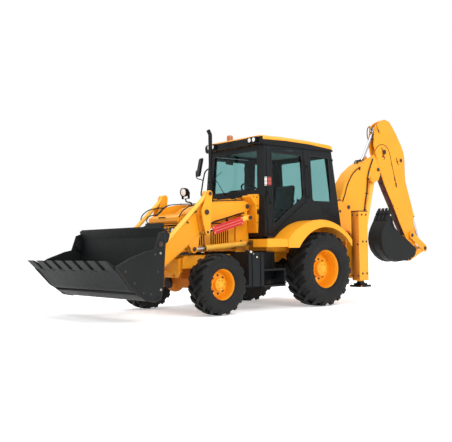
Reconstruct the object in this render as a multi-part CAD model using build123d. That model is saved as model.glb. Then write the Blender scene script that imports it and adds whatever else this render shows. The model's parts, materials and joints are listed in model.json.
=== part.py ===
from build123d import *
import os
from math import sin, cos, radians, atan2, degrees, hypot, sqrt

# Backhoe loader: four-wheel-drive tractor chassis with a front loader and a
# side-shift rear excavator arm.  Millimetres.  While modelling, X points
# forwards, Y to the machine's left, Z up, and the zero point is on the ground
# under the middle of the rear axle.  At the end everything is moved so that the
# origin is the bottom centre of the whole machine.

# ---------------------------------------------------------------- sizes
WHEELBASE = 2265
#            radius width  track/2  rim flange r   hub r
F_R, F_W, F_Y, F_RF, F_HUB = 465, 350, 937, 248, 104
R_R, R_W, R_Y, R_RF, R_HUB = 630, 480, 926, 337, 131
SPINDLE = 52            # wheel spindle radius
RUN = 0.08              # running clearance of a shaft in its bore, radial
GAP = 6                 # gap between parts that move past each other

# side view places (x, z)
KINGPIN_Y = 700
ARM_PIVOT = (1260, 1690)      # loader arm on its tower
BUCKET_PIN = (3280, 600)      # loader bucket on the arm
LEVER_PIN = (2230, 1570)      # tilt lever on the arm
LEVER_TOP = (-70, 290)        # from LEVER_PIN to the tilt link's pin
LEVER_LOW = (-20, -310)       # from LEVER_PIN to the tilt ram's pin
TILT_BASE = (1310, 1500)      # tilt ram on the arm
LIFT_BASE = (1240, 1080)      # lift ram on the chassis
LIFT_EYE = (2370, 1000)       # lift ram on the arm
CLAM_PIN = (3475, 1080)       # front jaw of the loader bucket

BH_Y = 450                    # rear arm stands this far left of the middle
POST_X = -1260                # swing axis of the rear arm
BOOM_PIN = (-1470, 880)
BOOM_TIP = (-2450, 2870)      # dipper pivot
BOOM_RAM_TOP = (-2190, 2500)  # boom ram's barrel on the boom
BOOM_RAM_LOW = (-1620, 480)   # boom ram's rod on the swing post
DIP_RAM_LOW = (-1270, 1740)   # dipper ram's barrel on the boom
DIP_RAM_TOP = (-2235, 3300)   # dipper ram's rod on the dipper
BKT_RAM_TOP = (-3010, 2740)   # bucket ram's barrel on the dipper
DIG_PIN = (-3390, 910)        # rear bucket on the dipper
DIG_LEVER = (-3275, 1212)     # bucket lever on the dipper
DIG_Q = (-3715, 942)          # lever, link and bucket ram meet here
DIG_N = (-3200, 735)          # link on the bucket
LEG_X, LEG_Y = -960, 1065     # stabiliser leg centre
DOOR_X = 90                   # door hinge, rear edge of the door

# cab: a hollow frustum     x_rear x_front half_y z
CAB_LOW = (-800, 1130, 800, 1190)
CAB_TOP = (-640, 1035, 712, 2730)
CAB_WALL = 46
# hood
HOOD_Y = 380
EXHAUST = (1330, -325)         # x, y

# ---------------------------------------------------------------- solids
def prism(pts, y0, y1):
    "polygon of (x, z) points, extruded along Y from y0 to y1"
    f = Face(Wire.make_polygon([Vector(x, y0, z) for x, z in pts], close=True))
    return Solid.extrude(f, Vector(0, y1 - y0, 0))

def prism_x(pts, x0, x1):
    "polygon of (y, z) points, extruded along X from x0 to x1"
    f = Face(Wire.make_polygon([Vector(x0, y, z) for y, z in pts], close=True))
    return Solid.extrude(f, Vector(x1 - x0, 0, 0))

def slab(x0, x1, y0, y1, z0, z1):
    return Pos((x0 + x1) / 2, (y0 + y1) / 2, (z0 + z1) / 2) * Box(abs(x1 - x0), abs(y1 - y0), abs(z1 - z0))

def disc(p, r, y0, y1):
    "cylinder along Y at (x, z)"
    y0, y1 = min(y0, y1), max(y0, y1)
    return Solid.make_cylinder(r, y1 - y0, Plane(origin=(p[0], y0, p[1]), z_dir=(0, 1, 0)))

def post(x, y, r, z0, z1):
    return Solid.make_cylinder(r, z1 - z0, Plane(origin=(x, y, z0), z_dir=(0, 0, 1)))

def rod3(a, b, r):
    "round bar between two points in space"
    a, b = Vector(*a), Vector(*b)
    return Solid.make_cylinder(r, (b - a).length, Plane(origin=a, z_dir=(b - a)))

def strut(p, q, r, y0, y1):
    "flat bar with round ends between two (x, z) points"
    a = atan2(q[1] - p[1], q[0] - p[0])
    nx, nz = -sin(a) * r, cos(a) * r
    body = prism([(p[0] + nx, p[1] + nz), (q[0] + nx, q[1] + nz), (q[0] - nx, q[1] - nz), (p[0] - nx, p[1] - nz)], y0, y1)
    return body + disc(p, r, y0, y1) + disc(q, r, y0, y1)

def add(*s):
    out = s[0]
    for k in s[1:]:
        out = out + k
    return out

def cut(a, *s):
    for k in s:
        a = a - k
    return a

def mirror_y(s):
    return s.mirror(Plane.XZ)

def both(s):
    return [s, mirror_y(s)]

def turned(section, y_dir=1):
    "solid of revolution about Y from (y, r) points"
    f = Face(Wire.make_polygon([Vector(0, y * y_dir, r) for y, r in section], close=True))
    return Solid.revolve(f, 360, Axis((0, 0, 0), (0, 1, 0)))

def along(p, q, d):
    L = hypot(q[0] - p[0], q[1] - p[1])
    return (p[0] + (q[0] - p[0]) * d / L, p[1] + (q[1] - p[1]) * d / L)

def ram(base, eye, yc, w, rb, rr, pin, lb, inner, stroke):
    """hydraulic ram in a vertical plane.  base and eye: (x, z) of the pins;
    w: eye width; rb, rr: barrel and rod radius; pin: base pin radius;
    lb: barrel length from the base pin to the gland; inner: where the rod
    starts inside the barrel; stroke: how far the rod goes in from rest.
    Returns (barrel, rod)."""
    def at(d):
        x, z = along(base, eye, d)
        return (x, yc, z)
    L = hypot(eye[0] - base[0], eye[1] - base[1])
    re = rb * 1.05
    barrel = rod3(at(re * 0.6), at(lb), rb) + disc(base, re, yc - w / 2, yc + w / 2) \
        + rod3(at(lb - 70), at(lb), rb * 1.14)
    barrel = barrel - disc(base, pin + RUN, yc - w, yc + w) - rod3(at(inner - stroke - 12), at(lb + 5), rr + RUN)
    rod = rod3(at(inner), at(L - re * 0.5), rr) + disc(eye, re, yc - w / 2, yc + w / 2)
    return barrel, rod

NODES = {}

def node(name, *solids):
    flat = []
    for s in solids:
        if s is None:
            continue
        if isinstance(s, (list, tuple)):
            flat += [k for k in s]
        else:
            flat.append(s)
    sol = []
    for s in flat:
        sol += list(s.solids())
    NODES[name] = sol

# ---------------------------------------------------------------- wheels
def tyre(R, W, rf):
    h = W / 2
    #            y       r
    half = [(0.40 * W, rf - 14), (0.47 * W, rf + 8), (0.50 * W, rf + 0.42 * (R - rf)),
            (0.49 * W, rf + 0.70 * (R - rf)), (0.43 * W, R - 14), (0.36 * W, R)]
    return turned([(-y, r) for y, r in reversed(half)] + half)

def rim(R, W, rf, hub, out):
    "deep-dish rim; out is +1 when the outboard side points to +Y"
    rb, t, a = rf - 16, 10, 0.37 * W
    d = 0.02 * W               # web plane
    sec = [(-0.16 * W, SPINDLE + RUN), (-0.16 * W, hub + 10), (d - 14, hub + 22), (d - 14, rb * 0.72),
           (-0.12 * W, rb - t), (-a + 6, rb - t), (-a, rf - 16), (-a, rf), (-a + 9, rf), (-a + 12, rb), (a - 12, rb),
           (a - 9, rf), (a, rf), (a, rf - 16), (a - 6, rb - t), (-0.12 * W + 16, rb - t), (d, rb * 0.70),
           (d, hub + 14), (0.20 * W, hub - 2), (0.22 * W, hub - 14), (0.22 * W, 0.0001), (0.12 * W, 0.0001), (0.12 * W, SPINDLE + RUN)]
    return turned(sec, out)

for side, s in (("left", 1), ("right", -1)):
    for end, x, R, W, Y, rf, hub in (("front", WHEELBASE, F_R, F_W, F_Y, F_RF, F_HUB), ("rear", 0, R_R, R_W, R_Y, R_RF, R_HUB)):
        move = Pos(x, s * Y, R)
        ty = tyre(R, W, rf)
        # the tyre sits on the rim 0.5 mm clear of it
        keep = turned([(-0.6 * W, 0), (-0.6 * W, rf - 15), (-0.37 * W - 0.5, rf - 15), (-0.37 * W - 0.5, rf + 0.5), (-0.37 * W + 12.5, rf + 0.5),
                       (-0.37 * W + 14, rf - 15.5), (0.37 * W - 14, rf - 15.5), (0.37 * W - 12.5, rf + 0.5), (0.37 * W + 0.5, rf + 0.5),
                       (0.37 * W + 0.5, rf - 15), (0.6 * W, rf - 15), (0.6 * W, 0)])
        node(f"{end}_tyre_{side}", move * (ty - keep))
        node(f"{end}_rim_{side}", move * rim(R, W, rf, hub, s))

# ---------------------------------------------------------------- axles
fx, fz = WHEELBASE, F_R
beam = slab(fx - 80, fx + 80, -600, 600, fz - 72, fz + 72)
diff = Pos(fx, -130, fz) * Sphere(150)
yokes = []
for s in (1, -1):
    y = s * KINGPIN_Y
    tip = slab(fx - 58, fx + 58, s * 560, s * 642, fz - 128, fz + 128)
    top = slab(fx - 50, fx + 50, s * 620, s * 742, fz + 102, fz + 128)
    low = slab(fx - 50, fx + 50, s * 620, s * 742, fz - 128, fz - 102)
    yokes += [tip + top + low - post(fx, y, 22 + RUN, fz - 140, fz + 140)]
saddle = slab(fx - 90, fx + 90, -150, 150, fz + 55, 690)
front_axle = add(beam, diff, saddle, *yokes)
node("front_axle", front_axle)

for side, s in (("left", 1), ("right", -1)):
    body = Pos(fx, s * KINGPIN_Y, fz) * Cylinder(46, 2 * 102 - 2 * GAP)
    body = body + post(fx, s * KINGPIN_Y, 22, fz - 126, fz + 126)
    body = body + disc((fx, fz), SPINDLE + 14, s * (KINGPIN_Y + 20), s * (F_Y - 0.16 * F_W - GAP))
    body = body + disc((fx, fz), SPINDLE, s * (KINGPIN_Y + 20), s * (F_Y + 0.12 * F_W - 8))
    body = body + slab(fx - 190, fx - 30, s * (KINGPIN_Y - 20), s * (KINGPIN_Y + 20), fz - 16, fz + 16)
    node(f"front_knuckle_{side}", body)

rx, rz = 0, R_R
rear_axle = Pos(0, 0, rz) * Sphere(195) + disc((0, rz), 92, -700, 700)
for s in (1, -1):
    rear_axle = rear_axle + disc((0, rz), 150, s * 560, s * 690)
    rear_axle = rear_axle + disc((0, rz), SPINDLE + 22, s * 690, s * (R_Y - 0.16 * R_W - GAP))
    rear_axle = rear_axle + disc((0, rz), SPINDLE, s * 690, s * (R_Y + 0.12 * R_W - 8))
node("rear_axle", rear_axle)

# ---------------------------------------------------------------- chassis
rails = both(prism([(-860, 600), (-860, 930), (-300, 930), (2440, 900), (2500, 860), (2500, 700), (1900, 740), (420, 760), (230, 880), (-230, 880), (-420, 760), (-700, 600)], 325, 385))
cross = [slab(2380, 2500, -325, 325, 700, 860), slab(1500, 1600, -325, 325, 745, 840), slab(-700, -600, -325, 325, 620, 760),
         slab(fx - 80, fx + 80, -325, 325, 691, 745)]
nose = add(prism([(2500, 640), (2540, 560), (2540, 850), (2500, 870)], -330, 330), slab(2440, 2502, -300, 300, 640, 705))
nose = nose - prism_x([(150, 580), (250, 580), (200, 632)], 2480, 2560) - prism_x([(-150, 580), (-250, 580), (-200, 632)], 2480, 2560)
nose = nose + slab(2530, 2625, -50, 50, 640, 670) - post(2580, 0, 18, 600, 700)
main_frame = add(rails[0], rails[1], *cross, nose)
node("main_frame", main_frame)

# loader towers: a plate each side that holds the arm's pivot pin and the lift ram's pin
towers = []
for s in (1, -1):
    pl = prism([(1142, 905), (1430, 905), (1420, 1300), (1345, 1660), (1330, 1760), (1200, 1760), (1165, 1560), (1142, 1300)], s * 392, s * 414)
    pin = disc(ARM_PIVOT, 32, s * 392, s * 522) + disc(ARM_PIVOT, 46, s * 516, s * 528)
    pin2 = disc(LIFT_BASE, 26, s * 392, s * 522) + disc(LIFT_BASE, 40, s * 520, s * 530)
    boss = disc(ARM_PIVOT, 60, s * 392, s * 419)
    base = slab(1142, 1430, s * 386, s * 414, 820, 906)
    towers += [pl + pin + pin2 + boss + base]
tbeam = slab(1130, 1190, -392, 392, 1180, 1240)
node("loader_towers", add(towers[0], towers[1], tbeam))

# engine and gearbox under the hood: one plain block
node("engine_block", add(slab(1455, 2300, -270, 270, 950, 1395), slab(460, 1456, -230, 230, 560, 950), slab(1400, 1500, -230, 230, 850, 1100)))

# fuel tank and steps on the left, hydraulic tank and steps on the right
tanks = []
for s in (1, -1):
    tk = prism([(1330, 400), (1635, 400), (1655, 430), (1655, 900), (1640, 935), (1330, 935)], s * 530, s * 975)
    st = add(slab(820, 1331, s * 530, s * 700, 480, 935),
             slab(840, 1331, s * 699, s * 965, 640, 664), slab(840, 1331, s * 699, s * 965, 380, 404),
             slab(836, 860, s * 640, s * 965, 380, 664), slab(860, 1100, s * 386, s * 540, 790, 860))
    hang = slab(1440, 1540, s * 386, s * 540, 790, 860)
    tanks += [tk + st + hang]
node("tanks_and_steps", tanks)

# rear fenders with the yellow sill ahead of the wheel
OUT_C, OUT_R = (150, 350), 1110
INN_C, INN_R = (16, 512), 829
fend = []
for s in (1, -1):
    band = disc(OUT_C, OUT_R, s * 622, s * 1150)
    band = band - disc(OUT_C, OUT_R - 16, s * 610, s * 1126)
    band = band & slab(-650, 935, s * 600, s * 1160, 1000, 1600)
    skirt = disc(OUT_C, OUT_R, s * 1126, s * 1150) & slab(-650, 935, s * 600, s * 1160, 1000, 1600)
    band = band + skirt
    band = band - disc(INN_C, INN_R, s * 600, s * 1160)
    inner = (disc(OUT_C, OUT_R - 14, s * 622, s * 636) - disc((0, rz), 160, s * 600, s * 660)) & slab(-640, 935, s * 600, s * 700, 940, 1600)
    sill = add(slab(860, 1400, s * 806, s * 1140, 1016, 1144))
    sill = sill - slab(800, 1384, s * 806, s * 1122, 1000, 1128)
    sill = sill + slab(935, 1384, s * 622, s * 820, 1128, 1144)
    fend += [band + inner + sill]
node("rear_fenders", fend)

# ---------------------------------------------------------------- cab
def frustum(inset, z_low=None, z_top=None):
    (xr, xf, hy, zl), (xr2, xf2, hy2, zt) = CAB_LOW, CAB_TOP
    i = inset
    a = Face(Wire.make_polygon([Vector(xr + i, -hy + i, zl), Vector(xf - i, -hy + i, zl), Vector(xf - i, hy - i, zl), Vector(xr + i, hy - i, zl)], close=True))
    b = Face(Wire.make_polygon([Vector(xr2 + i, -hy2 + i, zt), Vector(xf2 - i, -hy2 + i, zt), Vector(xf2 - i, hy2 - i, zt), Vector(xr2 + i, hy2 - i, zt)], close=True))
    return Solid.make_loft([a.outer_wire(), b.outer_wire()], True)

shell = frustum(0) - frustum(CAB_WALL)
wheel_arch = disc(OUT_C, OUT_R + 4, -900, 900)
shell = shell - (wheel_arch & slab(-620, 900, -900, 900, 1000, 1600))
glass_layer = frustum(16) - frustum(22)

DOOR = [(1060, 1228), (955, 1228), (606, 1474), (DOOR_X + 60, 1765), (DOOR_X + 8, 1800), (DOOR_X + 8, 2650), (985, 2650)]
DOOR_HOLE = [(1068, 1220), (950, 1220), (600, 1466), (DOOR_X + 54, 1757), (DOOR_X, 1792), (DOOR_X, 2658), (992, 2658)]
DOOR_WIN = [(930, 1350), (640, 1560), (DOOR_X + 100, 1840), (DOOR_X + 66, 1880), (DOOR_X + 66, 2600), (880, 2600)]
REAR_WIN = [(DOOR_X - 150, 1800), (-560, 1800), (-545, 2600), (DOOR_X - 150, 2600)]     # quarter window
WIND = [(-600, 1960), (600, 1960), (560, 2640), (-560, 2640)]                            # (y, z) windscreen
BACK = [(-620, 1760), (620, 1760), (575, 2620), (-575, 2620)]                            # (y, z) rear window
side_cut = [prism(DOOR_HOLE, 600, 900), prism(DOOR_HOLE, -900, -600)]
rw = [prism(REAR_WIN, 600, 900), prism(REAR_WIN, -900, -600)]
ws, bw = prism_x(WIND, 900, 1200), prism_x(BACK, -900, -500)
hood_hole = slab(1000, 1200, -HOOD_Y - 20, HOOD_Y + 20, 1100, 1935)
cab_frame = cut(shell, *side_cut, *rw, ws, bw)
node("cab_frame", cab_frame)

def shrink(pts, k):
    cx = sum(p[0] for p in pts) / len(pts); cz = sum(p[1] for p in pts) / len(pts)
    return [(x - (k if x > cx else -k), z - (k if z > cz else -k)) for x, z in pts]

panes = [prism(shrink(REAR_WIN, 1), 600, 900), prism(shrink(REAR_WIN, 1), -900, -600), prism_x(shrink(WIND, 1), 900, 1200), prism_x(shrink(BACK, 1), -900, -500)]
node("cab_glass", [glass_layer & p for p in panes])
for side, s in (("left", 1), ("right", -1)):
    blk = prism(DOOR, s * 600, s * 900)
    win = prism(DOOR_WIN, s * 600, s * 900)
    d = (frustum(0) - frustum(CAB_WALL)) & blk
    d = d - win
    node(f"cab_door_{side}", d)
    node(f"door_glass_{side}", glass_layer & prism(shrink(DOOR_WIN, 1), s * 600, s * 900))

# roof: yellow shell with a drooping rear edge
roof_o = prism([(1085, 2737), (1100, 2790), (1070, 2880), (540, 2890), (-40, 2874), (-600, 2826), (-650, 2790), (-650, 2737)], -735, 735)
edge_cut = add(prism_x([(735, 2830), (735, 2900), (640, 2900)], -700, 1200), prism_x([(-735, 2830), (-735, 2900), (-640, 2900)], -700, 1200))
roof_o = roof_o - edge_cut
roof_o = roof_o - slab(-560, 960, -640, 640, 2730, 2790)
node("cab_roof", roof_o)

# floor, rear shelf, and the firewall behind the hood
floor = slab(-740, 1070, -618, 618, 1140, 1186)
node("cab_floor", floor + slab(-560, -120, -560, 560, 1185, 1400))

# dashboard, steering column and wheel
dash = prism([(1040, 1190), (1040, 1900), (960, 1925), (840, 1840), (900, 1700), (920, 1190)], -240, 240)
col = rod3((880, 0, 1780), (700, 0, 1990), 26)
wheel_c = Vector(690, 0, 2002)
axis_w = Vector(-180, 0, 210)
ringw = Plane(origin=wheel_c, z_dir=axis_w) * Torus(185, 15)
hubw = Plane(origin=wheel_c, z_dir=axis_w) * Cylinder(46, 24)
sp1 = Plane(origin=wheel_c, z_dir=axis_w) * Box(360, 26, 12)
node("dashboard_and_wheel", add(dash, col, ringw, hubw, sp1))

# operator seat: base, cushion and back are closed forms
seat_base = slab(-20, 360, -200, 200, 1187, 1420)
cushion = prism([(-40, 1421), (430, 1421), (450, 1480), (420, 1540), (-40, 1520)], -240, 240)
back = prism([(-60, 1500), (-41, 2140), (-120, 2170), (-190, 2120), (-190, 1500)], -230, 230)
node("seat_base", seat_base)
node("seat_cushion", add(cushion - slab(-70, -39, -300, 300, 1400, 1600), back))

# hood: rear cowl that stays, side panels and grille nose that stay, lid that opens
cowl = prism([(1070 + 70, 1240), (1420, 1240), (1420, 1802), (1140, 1857)], -HOOD_Y, HOOD_Y)
cowl = cowl - prism([(1100, 1200), (1440, 1200), (1440, 1782), (1120, 1837)], -HOOD_Y + 16, HOOD_Y - 16)
cowl = cowl - post(EXHAUST[0], EXHAUST[1], 37, 1500, 2000)
sides = both(prism([(1420, 960), (2480, 960), (2480, 1400), (1420, 1400)], 364, 380))
noseg = prism([(2480, 950), (2590, 980), (2590, 1180), (2560, 1400), (2480, 1400)], -HOOD_Y, HOOD_Y) - slab(2400, 2565, -HOOD_Y + 16, HOOD_Y - 16, 900, 1385)
node("hood_cowl", [add(cowl, noseg, sides[0], sides[1], slab(1420, 1440, -380, 380, 1240, 1400) )])
lid_o = prism([(1428, 1408), (2566, 1408), (2604, 1440), (2600, 1500), (2540, 1535), (2300, 1560), (2060, 1612), (1965, 1680), (1836, 1716), (1428, 1800)], -HOOD_Y, HOOD_Y)
lid_i = prism([(1446, 1400), (2560, 1400), (2586, 1440), (2583, 1490), (2534, 1519), (2297, 1544), (2054, 1597), (1957, 1664), (1830, 1700), (1446, 1780)], -HOOD_Y + 16, HOOD_Y - 16)
node("engine_hood", lid_o - lid_i)

# exhaust stack
xe, ye = EXHAUST
ex = post(xe, ye, 34, 1500, 2985) + rod3((xe, ye, 2985), (xe + 45, ye, 3060), 34) + Pos(xe, ye, 2985) * Sphere(34)
ex = ex - rod3((xe + 18, ye, 3015), (xe + 55, ye, 3077), 29)
node("exhaust_pipe", ex)

# mirror on the right front corner, with its bent arm
mb = add(rod3((1090, -778, 1935), (1100, -905, 1950), 13), rod3((1100, -905, 1950), (1082, -905, 2300), 13), Pos(1100, -905, 1950) * Sphere(13),
         slab(1058, 1104, -800, -760.5, 1900, 1960), rod3((1082, -905, 2300), (1090, -905, 2420), 13))
mp = Pos(1100, -905, 2480) * Rot(0, -13, -10) * Box(34, 130, 345)
node("mirror_right", mb + mp)

# lamps: two pairs on the roof's front, a head lamp on a stalk, side markers
lamp_list = []
for y in (-590, -480, 480, 590):
    lamp_list.append(Pos(1106, y, 2800) * Rot(0, 90, 0) * Cylinder(44, 10) + slab(1101, 1104, y - 46, y + 46, 2756, 2846))
roof_lamps = []
for y in (-535, 535):
    roof_lamps.append(slab(1102, 1150, y - 110, y + 110, 2752, 2850))
for y in (-450, 450):
    roof_lamps.append(slab(-705, -652, y - 90, y + 90, 2745, 2822))
lamp_arm = add(slab(1740, 1820, -345, -255, 1690, 1742), post(1780, -300, 14, 1700, 1790), rod3((1774, -300, 1780), (1900, -300, 1800), 14), post(1900, -300, 14, 1793, 1900), Pos(1912, -300, 1955) * Rot(0, 0, -6) * Box(100, 128, 128))
lamp_arm = lamp_arm - prism([(1300, 1500), (2300, 1500), (2300, 1560.5), (2060, 1612.5), (1965, 1680.5), (1836, 1716.5), (1428, 1800.5), (1300, 1825)], -400, 400)
marker = [slab(1036, 1130, s * 812, s * 880, 2010, 2170) + slab(1060, 1100, s * 760, s * 815, 2050, 2130) for s in (1,)]
node("lamps", roof_lamps + marker)
node("work_lamp", lamp_arm)
node("beacon", post(810, -400, 62, 2895, 2915) + post(810, -400, 50, 2915, 3030))

# ---------------------------------------------------------------- loader arms
arms = []
ARM_IN, ARM_OUT = 425, 515
for s in (1, -1):
    a = prism([(1270, 1600), (1215, 1640), (1190, 1700), (1210, 1760), (1280, 1785), (1960, 1745), (2190, 1700), (2840, 1165), (3330, 690), (3320, 540), (3230, 540), (2560, 1000), (2230, 1270), (2030, 1400), (1960, 1435)], s * ARM_IN, s * ARM_OUT)
    a = a + disc(BUCKET_PIN, 75, s * ARM_IN, s * ARM_OUT)
    a = a - disc(ARM_PIVOT, 32 + RUN, s * 400, s * 530)
    a = a - disc(BUCKET_PIN, 30 + RUN, s * 400, s * 530)
    # pin of the tilt lever, pin of the tilt ram
    a = a + disc(LEVER_PIN, 34, s * ARM_OUT, s * 667) + disc(LEVER_PIN, 60, s * ARM_OUT, s * 523)
    lug = prism([(1250, 1475), (1310, 1440), (1370, 1475), (1380, 1640), (1250, 1640)], s * 470, s * ARM_OUT) - disc(ARM_PIVOT, 66, s * 400, s * 530)
    a = a + lug + disc(TILT_BASE, 26, s * 500, s * 650) + disc(TILT_BASE, 40, s * 643, s * 654) + disc(TILT_BASE, 44, s * ARM_OUT, s * 540)
    # lug pair for the lift ram's eye
    for y0, y1 in ((425, 437), (503, 515)):
        a = a + (prism([(2250, 1240), (2300, 1020), (2340, 955), (2410, 960), (2440, 1010), (2480, 1080)], s * y0, s * y1) + disc(LIFT_EYE, 62, s * y0, s * y1))
    a = a + disc(LIFT_EYE, 34, s * 515, s * 522)
    arms.append(a)
tube = rod3((2780, -430, 1050), (2780, 430, 1050), 75)
node("loader_arms", add(arms[0], arms[1], tube))

# lift rams (both sides, one body)
LIFT_Y, LIFT_W = 470, 52
lb, lr = [], []
for s in (1, -1):
    b, r = ram(LIFT_BASE, LIFT_EYE, s * LIFT_Y, LIFT_W, 44, 25, 26, 905, 200, 105)
    lb.append(b); lr.append(r)
node("lift_barrels", lb)
node("lift_rods", lr)

# tilt levers: two plates joined by a boss, both sides
TOP = (LEVER_PIN[0] + LEVER_TOP[0], LEVER_PIN[1] + LEVER_TOP[1])
LOW = (LEVER_PIN[0] + LEVER_LOW[0], LEVER_PIN[1] + LEVER_LOW[1])
BEAR = (BUCKET_PIN[0] + LEVER_TOP[0], BUCKET_PIN[1] + LEVER_TOP[1])
lev = []
for s in (1, -1):
    parts = []
    for y0, y1 in ((528, 542), (642, 658)):
        parts.append(prism([(TOP[0] - 52, TOP[1]), (TOP[0] + 52, TOP[1]), (LEVER_PIN[0] + 95, LEVER_PIN[1] + 20), (LEVER_PIN[0] + 75, LEVER_PIN[1] - 120), (LOW[0] + 45, LOW[1]), (LOW[0] - 45, LOW[1]), (LEVER_PIN[0] - 95, LEVER_PIN[1] - 60), (LEVER_PIN[0] - 100, LEVER_PIN[1] + 60)], s * y0, s * y1)
                     + disc(TOP, 52, s * y0, s * y1) + disc(LOW, 45, s * y0, s * y1))
    l = add(parts[0], parts[1], disc(LEVER_PIN, 62, s * 528, s * 658), disc(TOP, 24, s * 528, s * 664), disc(TOP, 36, s * 658, s * 668))
    l = l - disc(LEVER_PIN, 34 + RUN, s * 500, s * 700)
    lev.append(l)
node("tilt_levers", lev)
# tilt links: lever to bucket, both sides
lk = []
for s in (1, -1):
    k = rod3((TOP[0], s * 592, TOP[1]), (BEAR[0], s * 592, BEAR[1]), 34)
    k = k + disc(TOP, 50, s * 552, s * 632) + disc(BEAR, 46, s * 552, s * 632) - disc(TOP, 24 + RUN, s * 500, s * 700)
    lk.append(k)
node("tilt_links", lk)
# tilt rams
tb, tr = [], []
for s in (1, -1):
    b, r = ram(TILT_BASE, LOW, s * 592, 76, 45, 24, 26, 520, 465, 370)
    tb.append(b); tr.append(r)
node("tilt_barrels", tb)
node("tilt_rods", tr)

# ---------------------------------------------------------------- loader bucket
def plate_line(pts, t):
    "a bent plate of thickness t along (x, z) points, thickness to the left"
    out = []
    n = len(pts)
    for i in range(n):
        a = pts[max(i - 1, 0)]; b = pts[min(i + 1, n - 1)]
        L = hypot(b[0] - a[0], b[1] - a[1])
        out.append((pts[i][0] - (b[1] - a[1]) / L * t, pts[i][1] + (b[0] - a[0]) / L * t))
    return pts + out[::-1]

BH = 1140   # half width inside the jaw's side plates
wall = prism(plate_line([(3845, 395), (3720, 322), (3560, 290), (3470, 330), (3425, 480), (3400, 900), (3375, 1180), (3410, 1318)][::-1], 26), -BH, BH)
ear_l = slab(3415, 3440, 760, 1180, 1300, 1375)
stiff = prism([(3408, 1330), (3285, 1205), (3316, 1114), (3395, 1050)], -BH, BH)
lower = slab(3400, 3470, -BH, BH, 400, 470)
ears = []
for s in (1, -1):
    for y0, y1 in ((400, 417), (526, 542), (642, 658)):
        ears.append(prism([(BUCKET_PIN[0] - 62, BUCKET_PIN[1] - 40), (BEAR[0] - 55, BEAR[1] + 10), (BEAR[0] + 10, BEAR[1] + 70), (3398, 1000), (3452, 400), (3330, 500)], s * y0, s * y1) + disc(BUCKET_PIN, 74, s * y0, s * y1))
    ears.append(disc(BUCKET_PIN, 30, s * 400, s * 552))
hinges = [disc(CLAM_PIN, 30, s * 1100, s * (BH + 44)) + prism([(3390, 980), (3385, 1180), (3475, 1150), (3520, 1080), (3475, 1010)], s * 1100, s * 1138) for s in (1, -1)]
bucket = add(wall, ear_l - slab(3400, 3460, 1141, 1190, 1300, 1330), stiff, *ears, *hinges)
node("loader_bucket", bucket)

# jaw: floor, lip, teeth bar and side plates, swings about CLAM_PIN
jaw_floor = prism(plate_line([(3880, 432), (3960, 478), (4190, 738)], 26), -BH - 6, BH + 6)
sp = []
for s in (1, -1):
    q = prism([(3400, 1270), (3490, 1240), (3575, 1010), (3700, 985), (3990, 885), (4200, 785), (4205, 735), (3960, 478), (3880, 430), (3720, 310), (3560, 280), (3465, 310), (3425, 480), (3395, 900), (3372, 1180)], s * (BH + 6), s * (BH + 30))
    q = q - disc(CLAM_PIN, 30 + RUN, s * 1100, s * 1250)
    sp.append(q)
teeth = []
for i in range(8):
    y = -1060 + i * 2120 / 7
    teeth.append(prism([(4150, 722), (4200, 735), (4338, 868), (4300, 862), (4150, 765)], y - 98, y + 98))
node("bucket_jaw", add(jaw_floor, *sp, *teeth))

# ---------------------------------------------------------------- rear frame
rf = []
for s in (1, -1):
    o = slab(LEG_X - 125, LEG_X + 120, s * 978, s * 1152, 395, 1640)
    i = slab(LEG_X - 111, LEG_X + 106, s * 992, s * 1138, 380, 1622)
    rf.append(o - i)
upper = slab(-960, -862, -979, 979, 1110, 1230)
lower_b = slab(-960, -862, -979, 979, 440, 560)
webs = [slab(-930, -862, s * 300, s * 420, 559, 1111) for s in (1, -1)] + [slab(-930, -862, s * 860, s * 979, 559, 1111) for s in (1, -1)]
eyes = [slab(-863, -790, s * 560, s * 640, 470, 494) - post(-826, s * 600, 18, 440, 520) for s in (1, -1)]
node("rear_frame", add(rf[0], rf[1], upper, lower_b, *webs, *eyes))

# stabiliser legs: inner box with a neck and a pad
for side, s in (("left", 1), ("right", -1)):
    leg = slab(LEG_X - 104, LEG_X + 99, s * 999, s * 1131, 420, 1500)
    leg = add(leg, slab(LEG_X - 60, LEG_X + 60, s * 1030, s * 1100, 330, 421), slab(LEG_X - 140, LEG_X + 140, s * 925, s * 1200, 286, 312), slab(LEG_X - 90, LEG_X + 90, s * 990, s * 1140, 311, 345))
    node(f"stabiliser_leg_{side}", leg)

# ---------------------------------------------------------------- side shift and swing post
yb = BH_Y
car = add(slab(-1010, -968, yb - 280, yb + 280, 420, 1260), slab(-1080, -1009, yb - 120, yb + 120, 460, 1200))
for z in (470, 1120):
    car = car + slab(POST_X, -1009, yb - 84, yb + 84, z, z + 45) + post(POST_X, yb, 84, z, z + 45)
car = car + post(POST_X, yb, 36, 464, 1180)
slews = [rod3((-1035, yb - 270, z), (-1035, yb + 270, z), 42) for z in (700, 900)]
car = add(car, *slews)
node("side_shift_carriage", car)

fork = []
for s in (1, -1):
    fork.append(prism([(-1225, 540), (-1225, 1090), (-1420, 1010), (-1560, 960), (-1600, 820), (-1700, 560), (-1680, 430), (-1580, 400), (-1450, 470), (-1368, 540)], yb + s * 124, yb + s * 156))
core = post(POST_X, yb, 88, 522, 1112)
web = slab(-1338, -1220, yb - 125, yb + 125, 560, 1080)
swing = add(core, web, fork[0], fork[1])
swing = swing - post(POST_X, yb, 36 + RUN, 400, 1200)
swing = swing + disc(BOOM_PIN, 34, yb - 170, yb + 170) + disc(BOOM_RAM_LOW, 60, yb - 156, yb - 75) + disc(BOOM_RAM_LOW, 60, yb + 75, yb + 156)
node("swing_post", swing)

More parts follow.
